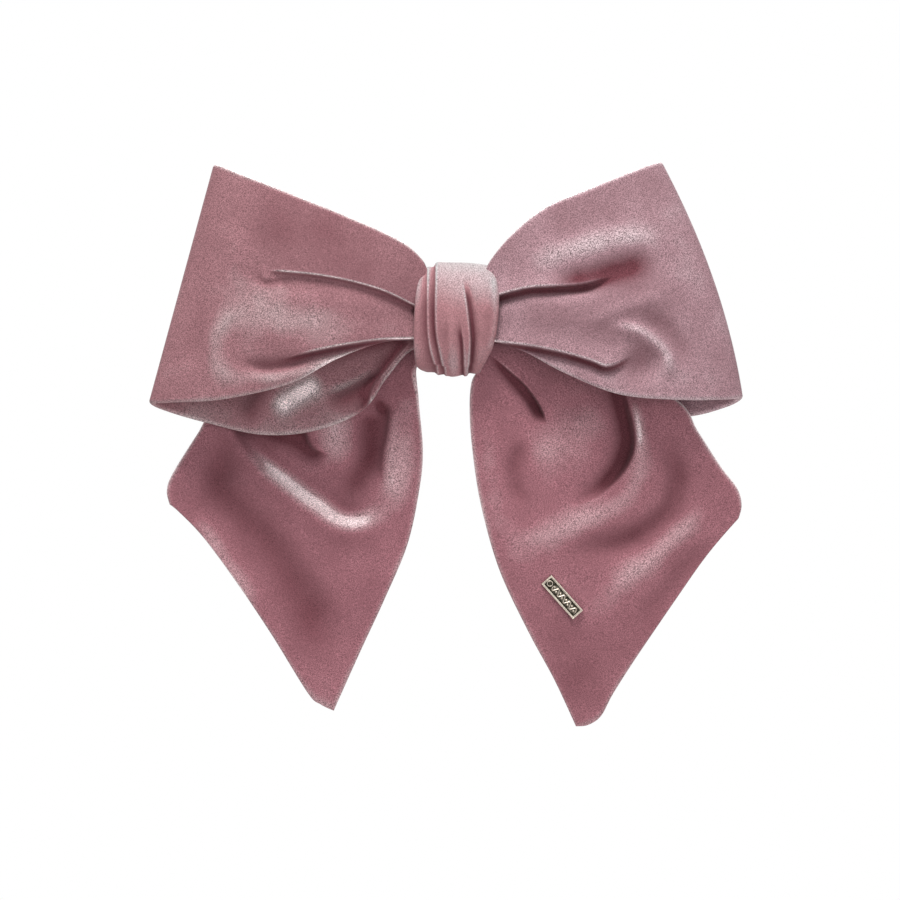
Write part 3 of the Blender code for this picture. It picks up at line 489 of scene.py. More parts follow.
LEFT_TAIL_FOLDS = [
    # the bowl under the loop, held up by a ledge that catches the light, with a painted highlight along
    # it
    crease([(-68.5, -29), (-67.6, -34.7), (-65.6, -38.2), (-60.5, -43.8), (-56, -47.9), (-50.9, -51.9),
            (-45.8, -55.5), (-40.8, -59), (-35.7, -62.1), (-31.1, -62.8), (-25.6, -61), (-20, -58.5)],
           1.6, 3.4, 6.0, 9.0, edge=1.7, fade=(0.05, 0.25), rim=0.0, shade=0.0),
    # tone only, no relief: the ledge's bright streak is a painted highlight
    roll([(-67.4, -33.5), (-60.3, -43.0), (-50.7, -51.1), (-40.6, -58.1), (-35.6, -61.3),
          (-31.1, -62.0), (-25.6, -60.4), (-19, -57)], 0.0, 2.1, (0.3, 0.25), 3.6, tone=0.58),
    # its inner wall on the right
    crease([(-20, -25), (-21.3, -34.2), (-22.5, -40.3), (-23, -46.3), (-22, -53)], 0.8, 2.0, 4.0, 5.0,
           edge=1.0, fade=(0.15, 0.35), left_low=False, rim=0.14, shade=0.0),
    # lobe hanging inside the bowl, between two hollows: painted highlights on the lobe, painted shade in
    # the hollows
    crease([(-47.6, -31), (-46.6, -35.2), (-45.3, -38.7), (-42.8, -40.8), (-38.7, -42.2)],
           1.8, 2.0, 5.0, 4.0, edge=0.6, fade=(0.15, 0.4), left_low=False, rim=0.14, shade=0.42),
    roll([(-38.5, -22), (-37.5, -33), (-36.5, -42), (-36, -50)], 2.6, 6.0, (0.1, 0.4), tone=0.32),
    roll([(-58, -37), (-50, -44.5), (-41, -52), (-34, -57)], 0.0, 3.4, (0.2, 0.3), tone=0.12),
    roll([(-26.6, -28), (-26.6, -35.2), (-27.1, -41.8), (-29.1, -47.9), (-32.2, -53.4), (-33.5, -57)],
         -1.5, 3.3, (0.15, 0.25), tone=-0.36),
    roll([(-60, -33), (-53, -38), (-47, -42.0), (-41, -46)], -0.8, 3.0, (0.2, 0.35), tone=-0.20),
    # painted shadow under the loop's lower edge
    dent((-51.5, -36.5), (7.5, 2.4), -0.25, -0.8, -0.45),
    dent((-23.2, -26.8), (1.6, 2.6), 0.5, -1.2, -0.5),
    roll([(-18.8, -26), (-19.6, -36), (-20.4, -46), (-21, -57)], 0.4, 2.2, (0.2, 0.25), tone=0.16),
    # long shallow valley down to the point, in painted shade, and between it and the cut edge a bank with
    # a
    #  painted highlight
    roll([(-70.5, -31), (-72.2, -43), (-73.0, -53), (-65.6, -61.5), (-57.6, -70.5), (-51.0, -80),
          (-44.6, -91), (-40, -106)], -2.5, 4.8, (0.2, 0.2), 6.4, tone=-0.26),
    # tone only, no relief: painted shade in the valley
    dent((-44.5, -97), (10, 5.5), -1.05, 0.0, -0.14),
    roll([(-84, -58), (-76, -67.5), (-67, -80), (-57, -95)], 0.8, 3.0, (0.3, 0.4), tone=0.22),
    roll([(-15, -22), (-15.5, -36), (-17, -50), (-20, -64)], 1.1, 4.0, (0.1, 0.3), tone=0.20),
    roll([(-30, -70), (-31, -84), (-35, -100)], 0.8, 6.0, (0.4, 0.4)),
]
RIGHT_TAIL_FOLDS = [
    # wedge beside the knot, deep in painted shade
    crease([(9, -10.5), (13, -13.5), (16.4, -16.4), (20.8, -20.3), (24.6, -25.2), (26.8, -29.5),
            (27.6, -33.5)], 1.3, 3.6, 4.5, 2.8, edge=0.2, fade=(0.35, 0.3), left_low=False,
           rim=0.24, shade=0.85),
    roll([(14, -16), (19.2, -20.8), (24.0, -27.0), (26.4, -33)], -2.0, 2.2, (0.4, 0.25), 1.6, tone=-0.45),
    # first cowl: a deep valley in painted shade, sharp on its outer side, over a bank with a painted
    # highlight
    crease([(50.0, -18), (52.2, -26.8), (53.6, -32.3), (54.2, -37.7), (53.2, -42.6), (50.5, -47.5),
            (46, -52), (40, -55.8), (33, -58.0)], 1.6, 4.2, 5.0, 5.0, edge=0.8, fade=(0.0, 0.5),
           left_low=False, rim=0.1, shade=0.68),
    roll([(54, -25), (56, -37), (56, -47), (51.9, -55.2), (45.3, -59.6), (38.2, -62.8), (30, -66.1),
          (21, -71), (13, -75)], 0.9, 2.2, (0.15, 0.3), 5.4, tone=0.23),
    roll([(53.6, -24), (55.2, -30), (56.0, -36), (55.8, -43)], 0.3, 1.3, (0.3, 0.4), tone=0.22),
    roll([(38, -24), (40, -34), (38, -44), (32, -50)], 1.6, 7.0, (0.3, 0.4), tone=0.10),
    dent((28.3, -40.5), (6.0, 6.5), 0.5, 0.9, 0.20),
    roll([(9, -24), (9.5, -40), (12, -58), (18, -78)], 0.4, 3.0, (0.2, 0.3), tone=0.04),
    # tone only, no relief: painted shade low on the tail
    dent((38, -108), (10, 14), 0.35, 0.0, -0.17),
    dent((60, -96), (12, 6), 1.0, 0.0, -0.08),
    roll([(21.5, -36), (18.3, -45), (18.7, -53), (24, -58)], -1.3, 2.8, (0.3, 0.35), tone=-0.20),
    # second cowl: a valley in painted shade over a bank with a painted highlight
    roll([(66, -31), (65.5, -40.5), (67.3, -47), (67.5, -52.5), (65.3, -59), (60, -64.3),
          (51.9, -68.8), (41, -71.3), (30, -73.6)], -2.6, 2.8, (0.3, 0.35), 4.6, tone=-0.26),
    roll([(79, -55.5), (71.3, -63), (65.8, -68.2), (60.3, -73.5), (53, -79), (46, -86.5),
          (38, -93)], 0.9, 3.0, (0.25, 0.35), 4.2, tone=0.23),
    roll([(80, -66), (72, -76), (62, -88), (54, -98)], -1.2, 4.0, (0.3, 0.4), tone=-0.10),
]


def below_left_loop(plan):
    """The left tail lies flat where the loop's back layer covers it."""
    return smoothstep(-plan[..., 1], 18.0, 32.0)


def below_right_loop(plan):
    """The right tail's folds are shallower inside the loop."""
    return 0.45 + 0.55 * smoothstep(-plan[..., 1], 20.0, 32.0)


def total(fields, plan):
    """Relief, and pile change with painted light and shade, of all the folds together."""
    both = sum(field(plan) for field in fields)
    return both[..., 0], both[..., 1]


def loop_piece(name, stations, front, back, tone):
    """A loop: the band from the knot to its outer fold and back, with folds in both layers."""
    surface, from_rim, share = station_surface(stations, *LOOP_GRID, round_end=False)
    plan = surface[..., [0, 2]]
    fold_row = int(np.argmax(np.abs(surface[:, surface.shape[1] // 2, 0])))
    fold_share = share[fold_row]
    near, far = 0.01, 0.10  # shares of the band over which the folds fade out at the outer fold
    in_front = 1 - smoothstep(share, fold_share - far, fold_share - near)
    behind = smoothstep(share, fold_share + near, fold_share + far)
    ends = smoothstep(np.minimum(share, 1 - share), 0.0, 0.06)  # both ends lie flat under the knot
    relief_front, front_pile_and_painted_light = total(front, plan)
    relief_back, back_pile_and_painted_light = total(back, plan)
    in_front, behind = (in_front * ends)[:, None], (behind * ends)[:, None]
    displace = np.zeros_like(surface)
    displace[..., 1] = -relief_front * in_front + relief_back * behind
    pile_and_painted_light = front_pile_and_painted_light * in_front + back_pile_and_painted_light * behind
    return closed_cloth(name, surface, from_rim, displace, tone, pile_and_painted_light)


def tail_piece(name, stations, cut, folds, under, tone):
    """A tail: the band from the knot to its slanted cut. under gives its folds' share at each point."""
    surface, from_rim, share = station_surface(stations, *TAIL_GRID, cut)
    plan = surface[..., [0, 2]]
    relief, pile_and_painted_light = total(folds, plan)
    past_knot = smoothstep(share, 0.05, 0.2)[:, None]
    displace = np.zeros_like(surface)
    displace[..., 1] = -relief * past_knot * under(plan)
    return closed_cloth(name, surface, from_rim, displace, tone, pile_and_painted_light)


# ---- knot ----
KNOT_WALL = 1.1  # half thickness of the wrap
KNOT_PULL = 0.85  # how much tighter it is drawn than its solid
KNOT_BELLY = 1.3  # how far it swells in front
KNOT_BACK_HALF = 9.4  # half its width behind
KNOT_SAMPLES = 1441  # points of its smooth section
KNOT_FRONT = (8.0, 20.0)  # depths towards the viewer between its back and its front
KNOT_TURN = (12.0, 17.0)  # heights above and below the middle over which it turns away
# Its outline in front, from the bottom up: height, left edge, right edge.
KNOT_OUTLINE = [
    (-20, -11.6, 6.2), (-17.5, -11.8, 6.2), (-16.4, -12.0, 6.7), (-13.4, -12.4, 8.9),
    (-9.8, -12.7, 11.0), (-4.9, -12.8, 12.3), (1.4, -12.6, 13.0), (6.4, -12.2, 13.1),
    (10.7, -11.6, 12.5), (14.8, -10.6, 11.4), (17, -10.2, 10.9), (20, -10.2, 10.9),
]
KNOT_FOLDS = [
    # the outer turn lies over two narrow edges of the inner one on the left
    crease([(-6.4, 30), (-6.4, 12), (-6.5, 2), (-6.2, -5), (-5.2, -10), (-3.6, -16), (-2.6, -24)],
           0.8, 0.7, 3.0, 2.0, edge=0.25, fade=(0, 0), left_low=False, rim=0.26, shade=0.22),
    crease([(-9.0, 30), (-8.9, 12), (-8.9, 2), (-8.7, -5), (-7.9, -10), (-6.2, -15), (-5.0, -24)],
           0.5, 0.6, 1.4, 3.0, edge=0.25, fade=(0, 0), left_low=False, rim=0.26, shade=0.12),
    crease([(2.0, 10.5), (2.8, 7.7), (3.6, 3.0), (4.3, -3), (4.6, -8), (4.1, -14), (3.0, -24)],
           1.0, 1.2, 3.4, 1.8, edge=0.25, fade=(0.2, 0), left_low=True, rim=0.22, shade=0.50),
    crease([(1.2, -1.5), (1.6, -5), (2.1, -9), (2.5, -20)], 0.4, 0.8, 1.0, 1.4, edge=0.25,
           fade=(0.35, 0), left_low=False, rim=0.12, shade=0.4),
    roll([(-2.0, 4), (-1.6, -6), (-1.0, -18)], 0.5, 1.8, (0.3, 0), tone=0.07),
    roll([(-2.6, 0), (-3.0, -8), (-2.4, -18)], -0.5, 0.9, (0.4, 0), tone=-0.10),
    # tone only, no relief: painted highlights down both sides of the knot
    roll([(-11.2, 30), (-11.2, 0), (-10.6, -9)], 0.0, 1.6, (0.0, 0.4), tone=0.14),
    roll([(11.2, 12), (11.8, 0), (10.4, -10)], 0.0, 1.1, (0.1, 0.1), tone=0.16),
    roll([(8.5, 14), (9.0, 4), (8.0, -6), (6.5, -20)], 0.7, 2.4, (0.2, 0)),
]


def knot_section(angle):
    """(y, z) of the wrap's middle line: rounded in front, squarer behind where the clip passes."""
    low, high = (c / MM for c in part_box("knot_wrap"))
    half_y = (high.y - low.y) / 2 - KNOT_WALL
    half_z = (high.z - low.z) / 2 - KNOT_WALL - KNOT_PULL
    mid_y, mid_z = (high.y + low.y) / 2, (high.z + low.z) / 2
    c, s = np.cos(angle), np.sin(angle)
    power = np.where(c < 0, 2.7, 4.0)
    y = mid_y + half_y * np.sign(c) * np.abs(c) ** (2 / power)
    z = mid_z + half_z * np.sign(s) * np.abs(s) ** (2 / power)
    return np.stack([y, z], 1)


def knot_outward(y, z):
    """Unit normals of the wrap's section, pointing out."""
    along_ring = np.gradient(np.stack([y, z], 1), axis=0)
    outward = np.stack([-along_ring[:, 1], along_ring[:, 0]], 1)
    outward /= np.linalg.norm(outward, axis=1, keepdims=True)
    centre = np.array([y.mean(), z.mean()])
    return outward if np.sum(outward * (np.stack([y, z], 1) - centre)) > 0 else -outward


def knot_folds(x, z, front):
    """Relief and pile change, with painted light, of the gathers; they flatten where the wrap turns over
    and under.
    """
    stretched = np.where(np.abs(z) > 13, z * 1.15, z)  # it runs back at its turns
    plan = np.stack([x, np.repeat(stretched[:, None], x.shape[1], 1)], -1)
    relief, pile_and_painted_light = total(KNOT_FOLDS, plan)
    turning = smoothstep(np.abs(z), *KNOT_TURN)
    inner_turn = 1 - smoothstep(x, -7.4, -5.6)  # the strip on the left, which lies lower at both turns
    relief = relief * (front * (1 - 0.6 * turning))[:, None]
    relief -= 1.3 * inner_turn * (front * turning)[:, None]
    # painted light: paler towards the top of the wrap, and paler again towards its bottom
    painted_knot_top_light = 0.25 * smoothstep(plan[..., 1], -1.0, 11.0)
    painted_knot_foot_light = 0.23 * smoothstep(-plan[..., 1], 4.0, 12.0)
    return relief, pile_and_painted_light + painted_knot_top_light + painted_knot_foot_light


def knot_piece():
    """The gathered wrap: a closed ring with rolled edges and gathers running round it."""
    ring = knot_section(np.linspace(0, 2 * math.pi, KNOT_SAMPLES))
    length = np.concatenate([[0], np.cumsum(np.linalg.norm(np.diff(ring, axis=0), axis=1))])
    rounds, columns = KNOT_GRID
    wanted = np.linspace(0, length[-1], rounds + 1)[:-1]
    y, z = (np.interp(wanted, length, column) for column in ring.T)
    front = smoothstep(-y, *KNOT_FRONT)
    heights, left_edge, right_edge = zip(*KNOT_OUTLINE)
    right = np.interp(z, heights, right_edge) * front + KNOT_BACK_HALF * (1 - front)
    left = np.interp(z, heights, left_edge) * front - KNOT_BACK_HALF * (1 - front)
    width = right - left
    across = across_steps(width, columns, KNOT_WALL)
    x = left[:, None] + across
    outward = knot_outward(y, z)
    relief, pile_and_painted_light = knot_folds(x, z, front)
    u = across / width[:, None]
    lift = relief + KNOT_BELLY * (4 * u * (1 - u)) * front[:, None]
    from_rim = np.minimum(across, width[:, None] - across)
    half = half_thickness(from_rim, KNOT_WALL)
    inside = np.where(from_rim > 0, np.minimum(lift, 0) - half, lift)

    def shell(offset):
        ys = y[:, None] + outward[:, None, 0] * offset
        zs = z[:, None] + outward[:, None, 1] * offset
        return np.stack([x, ys, zs], -1).reshape(-1, 3)

    index = np.arange(x.size).reshape(x.shape)
    other = index + index.size
    other[:, 0], other[:, -1] = index[:, 0], index[:, -1]
    closed = (np.concatenate([grid, grid[:1]]) for grid in (index, other))
    faces = [grid_quads(grid, flip) for grid, flip in zip(closed, (True, False))]
    points = np.concatenate([shell(lift + half), shell(inside)])
    paleness = (KNOT_TONE + pile_and_painted_light * front[:, None]).ravel()
    return mesh_object("knot_cloth", points, np.concatenate(faces), np.tile(paleness, 2))


# ---- tag ----
TAG_SIZE = (14.6, 4.2)
TAG_TILT = math.radians(48.2)  # its long side falls to the right
TAG_CELL = 0.07  # spacing of its grid
# Its thickness at distances from its edge: a double rim, then the sunk field.
RIM_STEPS = ((0.0, 0.55), (0.08, 0.90), (0.32, 0.90), (0.38, 0.66), (0.62, 0.66), (0.70, 0.34))
FIELD = RIM_STEPS[-1][1]
EYELET_AT, EYELET_R, EYELET_WIRE, EYELET_RISE = -5.6, 0.80, 0.22, 0.55
SCROLL_PITCH, SCROLL_HALF = 2.6, 0.80  # length and half height of the raised scroll's waves
STEM_R, STEM_RISE = 0.24, 0.36
BEAD_R, BEAD_RISE, BEAD_OFF = 0.36, 0.34, 0.30  # BEAD_OFF is its distance from the middle line


def tag_height(u, v):
    """The tag's thickness: a stepped rim, a sunk field, a scroll with beads, and an eyelet."""
    from_edge = np.minimum(TAG_SIZE[0] / 2 - np.abs(u), TAG_SIZE[1] / 2 - np.abs(v))
    edges, heights = zip(*RIM_STEPS)
    height = np.interp(from_edge, edges, heights)
    inside = (u > EYELET_AT + 1.3) & (u < TAG_SIZE[0] / 2 - 1.0)
    turns = 2 * math.pi * (u - EYELET_AT) / SCROLL_PITCH
    wave = SCROLL_HALF * np.sin(turns)
    slope = np.hypot(1, 2 * math.pi * SCROLL_HALF / SCROLL_PITCH * np.cos(turns))
    stem = STEM_RISE * np.exp(-(((v - wave) / slope / STEM_R) ** 2)) * inside
    bead_step = SCROLL_PITCH / 2
    nearest = np.round((u - EYELET_AT) / bead_step - 0.5)
    bead_u = EYELET_AT + bead_step * (nearest + 0.5)
    bead_v = np.where(nearest % 2 == 0, -BEAD_OFF, BEAD_OFF)
    bead = BEAD_RISE * np.exp(-(((u - bead_u) ** 2 + (v - bead_v) ** 2) / BEAD_R**2)) * inside
    ring = np.abs(np.hypot(u - EYELET_AT, v) - EYELET_R)
    eyelet = EYELET_RISE * np.sqrt(np.maximum(1 - (ring / EYELET_WIRE) ** 2, 0))
    return np.maximum(height, FIELD + np.maximum(np.maximum(stem, bead), eyelet))


def tag_piece():
    """The tag: a relief in front, a flat back, and side walls between them."""
    low, high = (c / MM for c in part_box("tag_plate"))
    centre = (low + high) / 2
    columns, rows = (int(side / TAG_CELL) for side in TAG_SIZE)
    u, v = np.meshgrid(
        np.linspace(-TAG_SIZE[0] / 2, TAG_SIZE[0] / 2, columns),
        np.linspace(-TAG_SIZE[1] / 2, TAG_SIZE[1] / 2, rows),
    )
    height = tag_height(u, v)
    c, s = math.cos(TAG_TILT), math.sin(TAG_TILT)
    x, z = centre.x + u * c + v * s, centre.z - u * s + v * c
    back = low.y + RIM_STEPS[1][1]  # the outer rim reaches the front of the tag's solid
    front = np.stack([x, back - height, z], -1).reshape(-1, 3)
    behind = np.stack([x, np.full_like(x, back), z], -1).reshape(-1, 3)
    index = np.arange(rows * columns).reshape(rows, columns)
    other = index + index.size
    around = np.concatenate([index[0, :-1], index[:-1, -1], index[-1, :0:-1], index[:0:-1, 0]])
    after = np.roll(around, -1)
    wall = np.stack([around, around + index.size, after + index.size, after], -1)
    faces = np.concatenate([grid_quads(index, False), grid_quads(other, True), wall])
    tag = mesh_object("tag_plaque", np.concatenate([front, behind]), faces)
    worn = np.clip((height - FIELD) / STEM_RISE, 0, 1).ravel()
    store(tag.data, "worn", np.concatenate([worn, np.ones_like(worn)]))
    return tag


# ---- materials ----
DEEP = (0.100, 0.032, 0.040)  # colour of pile that is pressed away from the light, and of painted shade
SILVER = (0.70, 0.585, 0.595)  # colour of pile that is brushed towards it, and of painted highlights
MIDDLE_AT, BLOOM_AT = 0.5, 0.76  # paleness at which the pile has its two colours between them


def new_material(name):
    """A material, its nodes and links, and its shader."""
    made = bpy.data.materials.new(name)
    made.use_nodes = True
    nodes = made.node_tree.nodes
    return made, nodes, made.node_tree.links, nodes["Principled BSDF"]


def noise(nodes, links, coordinates, scale, detail=2.0, roughness=0.5):
    """A noise texture's output; scale is in cells per unit of the coordinates."""
    node = nodes.new("ShaderNodeTexNoise")
    node.inputs["Scale"].default_value = scale
    node.inputs["Detail"].default_value = detail
    node.inputs["Roughness"].default_value = roughness
    links.new(coordinates, node.inputs["Vector"])
    return node.outputs["Fac"]


def mix_colour(nodes, links, factor, first, second, mode="MIX"):
    """A mix of two colours; each input is a socket, a colour or a number."""
    node = nodes.new("ShaderNodeMix")
    node.data_type = "RGBA"
    node.blend_type = mode
    for socket, value in (("Factor", factor), ("A", first), ("B", second)):
        target = next(i for i in node.inputs if i.name == socket and i.enabled)
        if isinstance(value, bpy.types.NodeSocket):
            links.new(value, target)
        elif isinstance(value, tuple):
            target.default_value = (*value, 1.0)
        else:
            target.default_value = value
    return next(o for o in node.outputs if o.enabled)


def remap(nodes, links, value, low, high, to_low, to_high):
    """A value stretched from low..high to to_low..to_high, and held at those ends."""
    node = nodes.new("ShaderNodeMapRange")
    links.new(value, node.inputs["Value"])
    numbers = {"From Min": low, "From Max": high, "To Min": to_low, "To Max": to_high}
    for name, number in numbers.items():
        node.inputs[name].default_value = number
    return node.outputs["Result"]


def attribute_value(nodes, name):
    """The number that a mesh keeps for each point under this name."""
    node = nodes.new("ShaderNodeAttribute")
    node.attribute_name = name
    return node.outputs["Fac"]


def clamped_sum(nodes, links, first, second):
    """Two values added and held within 0..1."""
    node = nodes.new("ShaderNodeMath")
    node.operation = "ADD"
    node.use_clamp = True
    links.new(first, node.inputs[0])
    links.new(second, node.inputs[1])
    return node.outputs[0]


def bump_normal(nodes, links, shader, height, strength, distance):
    """Fine relief in the surface's shading."""
    bump = nodes.new("ShaderNodeBump")
    bump.inputs["Strength"].default_value = strength
    bump.inputs["Distance"].default_value = distance
    links.new(height, bump.inputs["Height"])
    links.new(bump.outputs["Normal"], shader.inputs["Normal"])


def velvet(name, middle, bloom, light, sparkle):
    """Short-pile velvet: painted highlights and shade with brushed light and deep patches, pile speckle
    and a pale grazing sheen.

    middle is the colour of pile at rest, bloom of pile that opens, and light of the palest pile; bloom
    and light also colour the painted highlights.
    sparkle scales the speckle of single tufts.
    """
    made, nodes, links, shader = new_material(name)
    place = nodes.new("ShaderNodeTexCoord").outputs["Object"]
    # uneven brushing in patches of about 14 mm
    mottle = remap(nodes, links, noise(nodes, links, place, 70.0, 4.0), 0.3, 0.7, -0.07, 0.07)
    # the pile's paleness with its painted light and shade, and random brushing
    painted_light_and_pile = clamped_sum(nodes, links, attribute_value(nodes, "pile_and_painted_light"), mottle)
    ramp = nodes.new("ShaderNodeValToRGB")
    links.new(painted_light_and_pile, ramp.inputs["Fac"])
    stops = ramp.color_ramp.elements
    stops.new(MIDDLE_AT)
    stops.new(BLOOM_AT)
    for stop, shade in zip(stops, (DEEP, middle, bloom, light)):
        stop.color = (*shade, 1.0)
    # tufts of about 0.3 mm, which show most where the pile is pale
    fine = remap(nodes, links, noise(nodes, links, place, 3300.0, 1.0, 0.5), 0.3, 0.7, -0.55, 1.0)
    strength = remap(nodes, links, painted_light_and_pile, 0.35, 0.75, 0.30 * sparkle, 0.85 * sparkle)
    speckled = nodes.new("ShaderNodeMath")
    speckled.operation = "MULTIPLY_ADD"
    links.new(fine, speckled.inputs[0])
    links.new(strength, speckled.inputs[1])
    speckled.inputs[2].default_value = 1.0
    grey = nodes.new("ShaderNodeCombineColor")
    for channel in ("Red", "Green", "Blue"):
        links.new(speckled.outputs[0], grey.inputs[channel])
    colour = mix_colour(nodes, links, 1.0, ramp.outputs["Color"], grey.outputs[0], "MULTIPLY")
    links.new(colour, shader.inputs["Base Color"])
    tips = noise(nodes, links, place, 2600.0, 2.0, 0.6)
    bump_normal(nodes, links, shader, tips, 0.55, 0.25 * MM)
    shader.inputs["Roughness"].default_value = 0.95
    shader.inputs["Specular IOR Level"].default_value = 0.05
    shader.inputs["Sheen Weight"].default_value = 0.17
    shader.inputs["Sheen Roughness"].default_value = 0.34
    shader.inputs["Sheen Tint"].default_value = (1.0, 0.93, 0.95, 1.0)
    return made


def spun_thread(name, colour):
    """Twisted sewing thread."""
    made, nodes, links, shader = new_material(name)
    place = nodes.new("ShaderNodeTexCoord").outputs["Object"]
    wave = nodes.new("ShaderNodeTexWave")
    wave.inputs["Scale"].default_value = 900.0
    wave.inputs["Distortion"].default_value = 1.5
    links.new(place, wave.inputs["Vector"])
    darker = tuple(0.6 * c for c in colour)
    links.new(mix_colour(nodes, links, wave.outputs["Fac"], darker, colour), shader.inputs["Base Color"])
    bump_normal(nodes, links, shader, wave.outputs["Fac"], 0.5, 0.1 * MM)
    shader.inputs["Roughness"].default_value = 0.75
    shader.inputs["Sheen Weight"].default_value = 0.3
    return made


def plated(name, colour, worn, roughness):
    """Plated metal with fine rolling lines and slightly duller, worn patches."""
    made, nodes, links, shader = new_material(name)
    place = nodes.new("ShaderNodeTexCoord").outputs["Object"]
    stretch = nodes.new("ShaderNodeMapping")
    stretch.inputs["Scale"].default_value = (40.0, 2500.0, 2500.0)
    links.new(place, stretch.inputs["Vector"])
    lines = noise(nodes, links, stretch.outputs[0], 1.0, 3.0, 0.6)
    patches = noise(nodes, links, place, 160.0, 4.0, 0.6)
    worn_share = remap(nodes, links, patches, 0.5, 0.75, 0.0, 0.8)
    links.new(mix_colour(nodes, links, worn_share, colour, worn), shader.inputs["Base Color"])
    rough = remap(nodes, links, lines, 0.3, 0.7, roughness - 0.06, roughness + 0.10)
    links.new(rough, shader.inputs["Roughness"])
    bump_normal(nodes, links, shader, lines, 0.12, 0.05 * MM)
    shader.inputs["Metallic"].default_value = 1.0
    return made


def antiqued(name, polished, tarnish):
    """Cast metal, bright where it is raised and blackened in its recesses."""
    made, nodes, links, shader = new_material(name)
    place = nodes.new("ShaderNodeTexCoord").outputs["Object"]
    grime = remap(nodes, links, noise(nodes, links, place, 1500.0, 3.0), 0.3, 0.7, -0.18, 0.18)
    share = clamped_sum(nodes, links, attribute_value(nodes, "worn"), grime)
    links.new(mix_colour(nodes, links, share, tarnish, polished), shader.inputs["Base Color"])
    links.new(remap(nodes, links, share, 0.0, 1.0, 0.6, 0.36), shader.inputs["Roughness"])
    shader.inputs["Metallic"].default_value = 1.0
    return made


# ---- stage ----
WHITE = (1.0, 1.0, 1.0)
SOFT_LIGHT = 0.55  # strength of the light from all round
FLOOR_HALF, FLOOR_DROP = 1.0, 0.32  # the floor's half side, and how far below the bow it lies
CAMERA_AT = (-0.0018, -0.78, -0.0403)
CAMERA_LENS, CAMERA_SENSOR = 100.0, 36.0

# Each light: place, size, power, colour. All of them face the bow.
LIGHTS = {
    "key": ((-0.10, -0.34, 0.68), 0.35, 8.5, (1.0, 0.985, 0.965)),
    "fill": ((0.35, -0.95, 0.05), 0.7, 3.5, (0.97, 0.98, 1.0)),
    "back": ((0.2, 0.8, 0.3), 0.6, 5.0, WHITE),
}


def link(name, data):
    """A new object in the scene."""
    obj = bpy.data.objects.new(name, data)
    bpy.context.scene.collection.objects.link(obj)
    return obj


def surroundings():
    """White as the camera sees it, softer as a light."""
    world = bpy.data.worlds.new("studio")
    bpy.context.scene.world = world
    world.use_nodes = True
    nodes, links = world.node_tree.nodes, world.node_tree.links
    soft = nodes["Background"]
    soft.inputs["Color"].default_value = (*WHITE, 1.0)
    soft.inputs["Strength"].default_value = SOFT_LIGHT
    white = nodes.new("ShaderNodeBackground")
    white.inputs["Color"].default_value = (*WHITE, 1.0)
    white.inputs["Strength"].default_value = 1.0
    mix = nodes.new("ShaderNodeMixShader")
    links.new(nodes.new("ShaderNodeLightPath").outputs["Is Camera Ray"], mix.inputs[0])
    links.new(soft.outputs[0], mix.inputs[1])
    links.new(white.outputs[0], mix.inputs[2])
    links.new(mix.outputs[0], nodes["World Output"].inputs["Surface"])


def area_light(name, place, target, size, energy, colour):
    """A soft round light that faces the target."""
    data = bpy.data.lights.new(name, "AREA")
    data.shape = "DISK"
    data.size = size
    data.energy = energy
    data.color = colour
    light = link(name, data)
    light.location = place
    light.rotation_euler = (target - light.location).to_track_quat("-Z", "Y").to_euler()


def pale_floor(height):
    """A square sheet of off-white paper under the bow."""
    mesh = bpy.data.meshes.new("floor")
    corners = [(x * FLOOR_HALF, y * FLOOR_HALF, height) for x, y in ((-1, -1), (1, -1), (1, 1), (-1, 1))]
    mesh.from_pydata(corners, [], [(0, 1, 2, 3)])
    paper, _, _, shader = new_material("floor_paper")
    shader.inputs["Base Color"].default_value = (0.9, 0.89, 0.88, 1.0)
    shader.inputs["Roughness"].default_value = 0.9
    mesh.materials.append(paper)
    link("floor", mesh)


def studio():
    """White surroundings, a soft key from above, a pale floor well below, and the camera in front."""
    bpy.context.scene.view_settings.view_transform = "Standard"
    surroundings()
    low, high = (Vector(c) for c in CAD_BOUNDS)
    centre = (low + high) / 2
    for name, (place, size, energy, colour) in LIGHTS.items():
        area_light(name, place, centre, size, energy, colour)
    pale_floor(low.z - FLOOR_DROP)
    data = bpy.data.cameras.new("camera")
    data.lens = CAMERA_LENS
    data.sensor_width = CAMERA_SENSOR
    camera = link("camera", data)
    camera.location = CAMERA_AT
    camera.rotation_euler = (math.pi / 2, 0.0, 0.0)
    bpy.context.scene.camera = camera


# ---- putting it together ----
def dress(obj, material, node):
    """Gives a piece its material and puts it on the bow in place of a CAD node."""
    obj.data.materials.append(material)
    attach(obj, "bow")
    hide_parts(node)


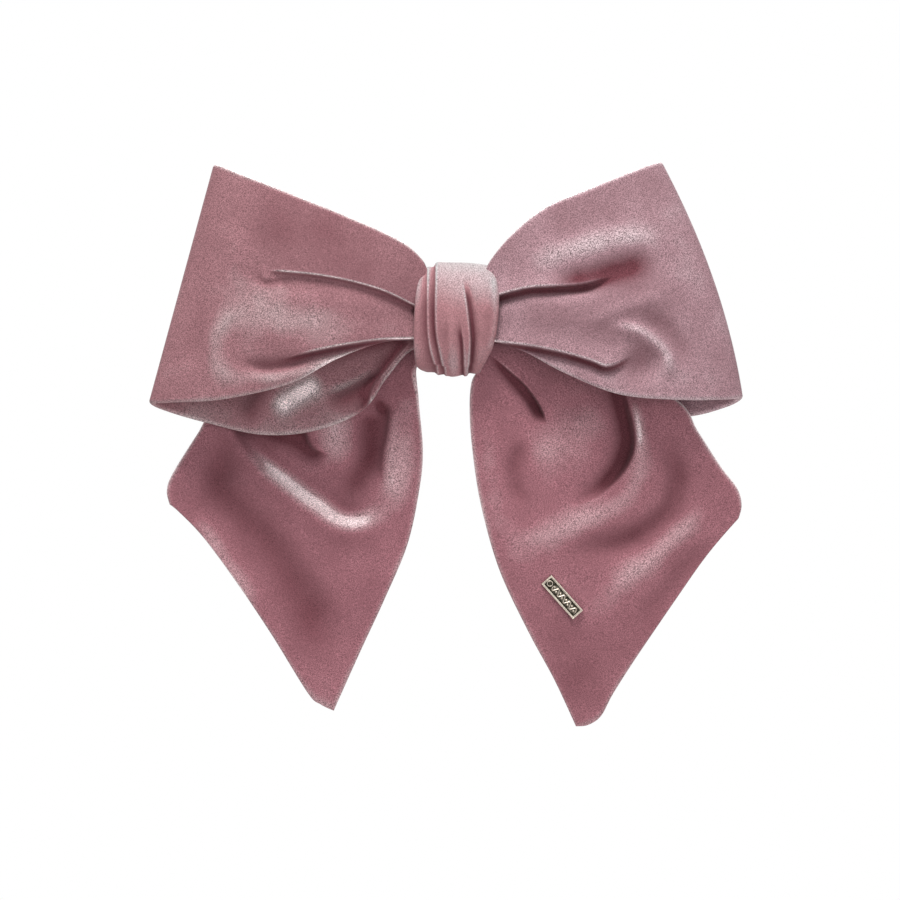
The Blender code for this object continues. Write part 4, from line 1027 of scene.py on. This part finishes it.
def finish_small_parts():
    """Finishes for the CAD solids that show as they are: the clip, the threads and the tag's pin."""
    nickel = plated("nickel", (0.66, 0.65, 0.63), (0.50, 0.49, 0.48), 0.26)
    spring = plated("spring_nickel", (0.56, 0.56, 0.56), (0.42, 0.42, 0.43), 0.22)
    cotton = spun_thread("rose_thread", (0.42, 0.20, 0.24))
    blackened = plated("blackened", (0.055, 0.048, 0.036), (0.10, 0.085, 0.06), 0.45)
    finishes = {"clip_steel": nickel, "spring_steel": spring, "tag_metal": blackened, "thread": cotton}
    for part in frame["record"]["subparts"]:
        finish = finishes.get(part["material_slot"])
        if finish is not None:
            data = frame["nodes"][part["node"]].data
            data.materials.clear()
            data.materials.append(finish)


def main():
    studio()
    finish_small_parts()
    rose = velvet("velvet_rose", (0.207, 0.103, 0.115), (0.252, 0.193, 0.197), SILVER, 1.5)
    pale = velvet("velvet_pale", (0.236, 0.142, 0.160), (0.308, 0.240, 0.253), SILVER, 1.6)
    dusk = velvet("velvet_dusk", (0.216, 0.093, 0.110), (0.285, 0.178, 0.191), SILVER, 1.3)
    grey = velvet("velvet_knot", (0.262, 0.130, 0.142), (0.29, 0.218, 0.228), (0.285, 0.283, 0.286), 0.85)
    gilt = antiqued("antique_gilt", (0.60, 0.53, 0.45), (0.026, 0.024, 0.016))

    left = loop_piece("left_loop_cloth", LEFT_LOOP, LEFT_LOOP_FRONT, LEFT_LOOP_BACK, LEFT_LOOP_TONE)
    right = loop_piece(
        "right_loop_cloth", RIGHT_LOOP, RIGHT_LOOP_FRONT, RIGHT_LOOP_BACK, RIGHT_LOOP_TONE
    )
    left_tail = tail_piece(
        "left_tail_cloth", LEFT_TAIL, LEFT_CUT, LEFT_TAIL_FOLDS, below_left_loop, LEFT_TAIL_TONE
    )
    right_tail = tail_piece(
        "right_tail_cloth", RIGHT_TAIL, RIGHT_CUT, RIGHT_TAIL_FOLDS, below_right_loop, RIGHT_TAIL_TONE
    )
    knot = knot_piece()
    dress(left, rose, "left_loop")
    dress(right, pale, "right_loop")
    dress(left_tail, dusk, "left_tail")
    dress(right_tail, dusk, "right_tail")
    dress(knot, grey, "knot_wrap")
    dress(tag_piece(), gilt, "tag_plate")


main()
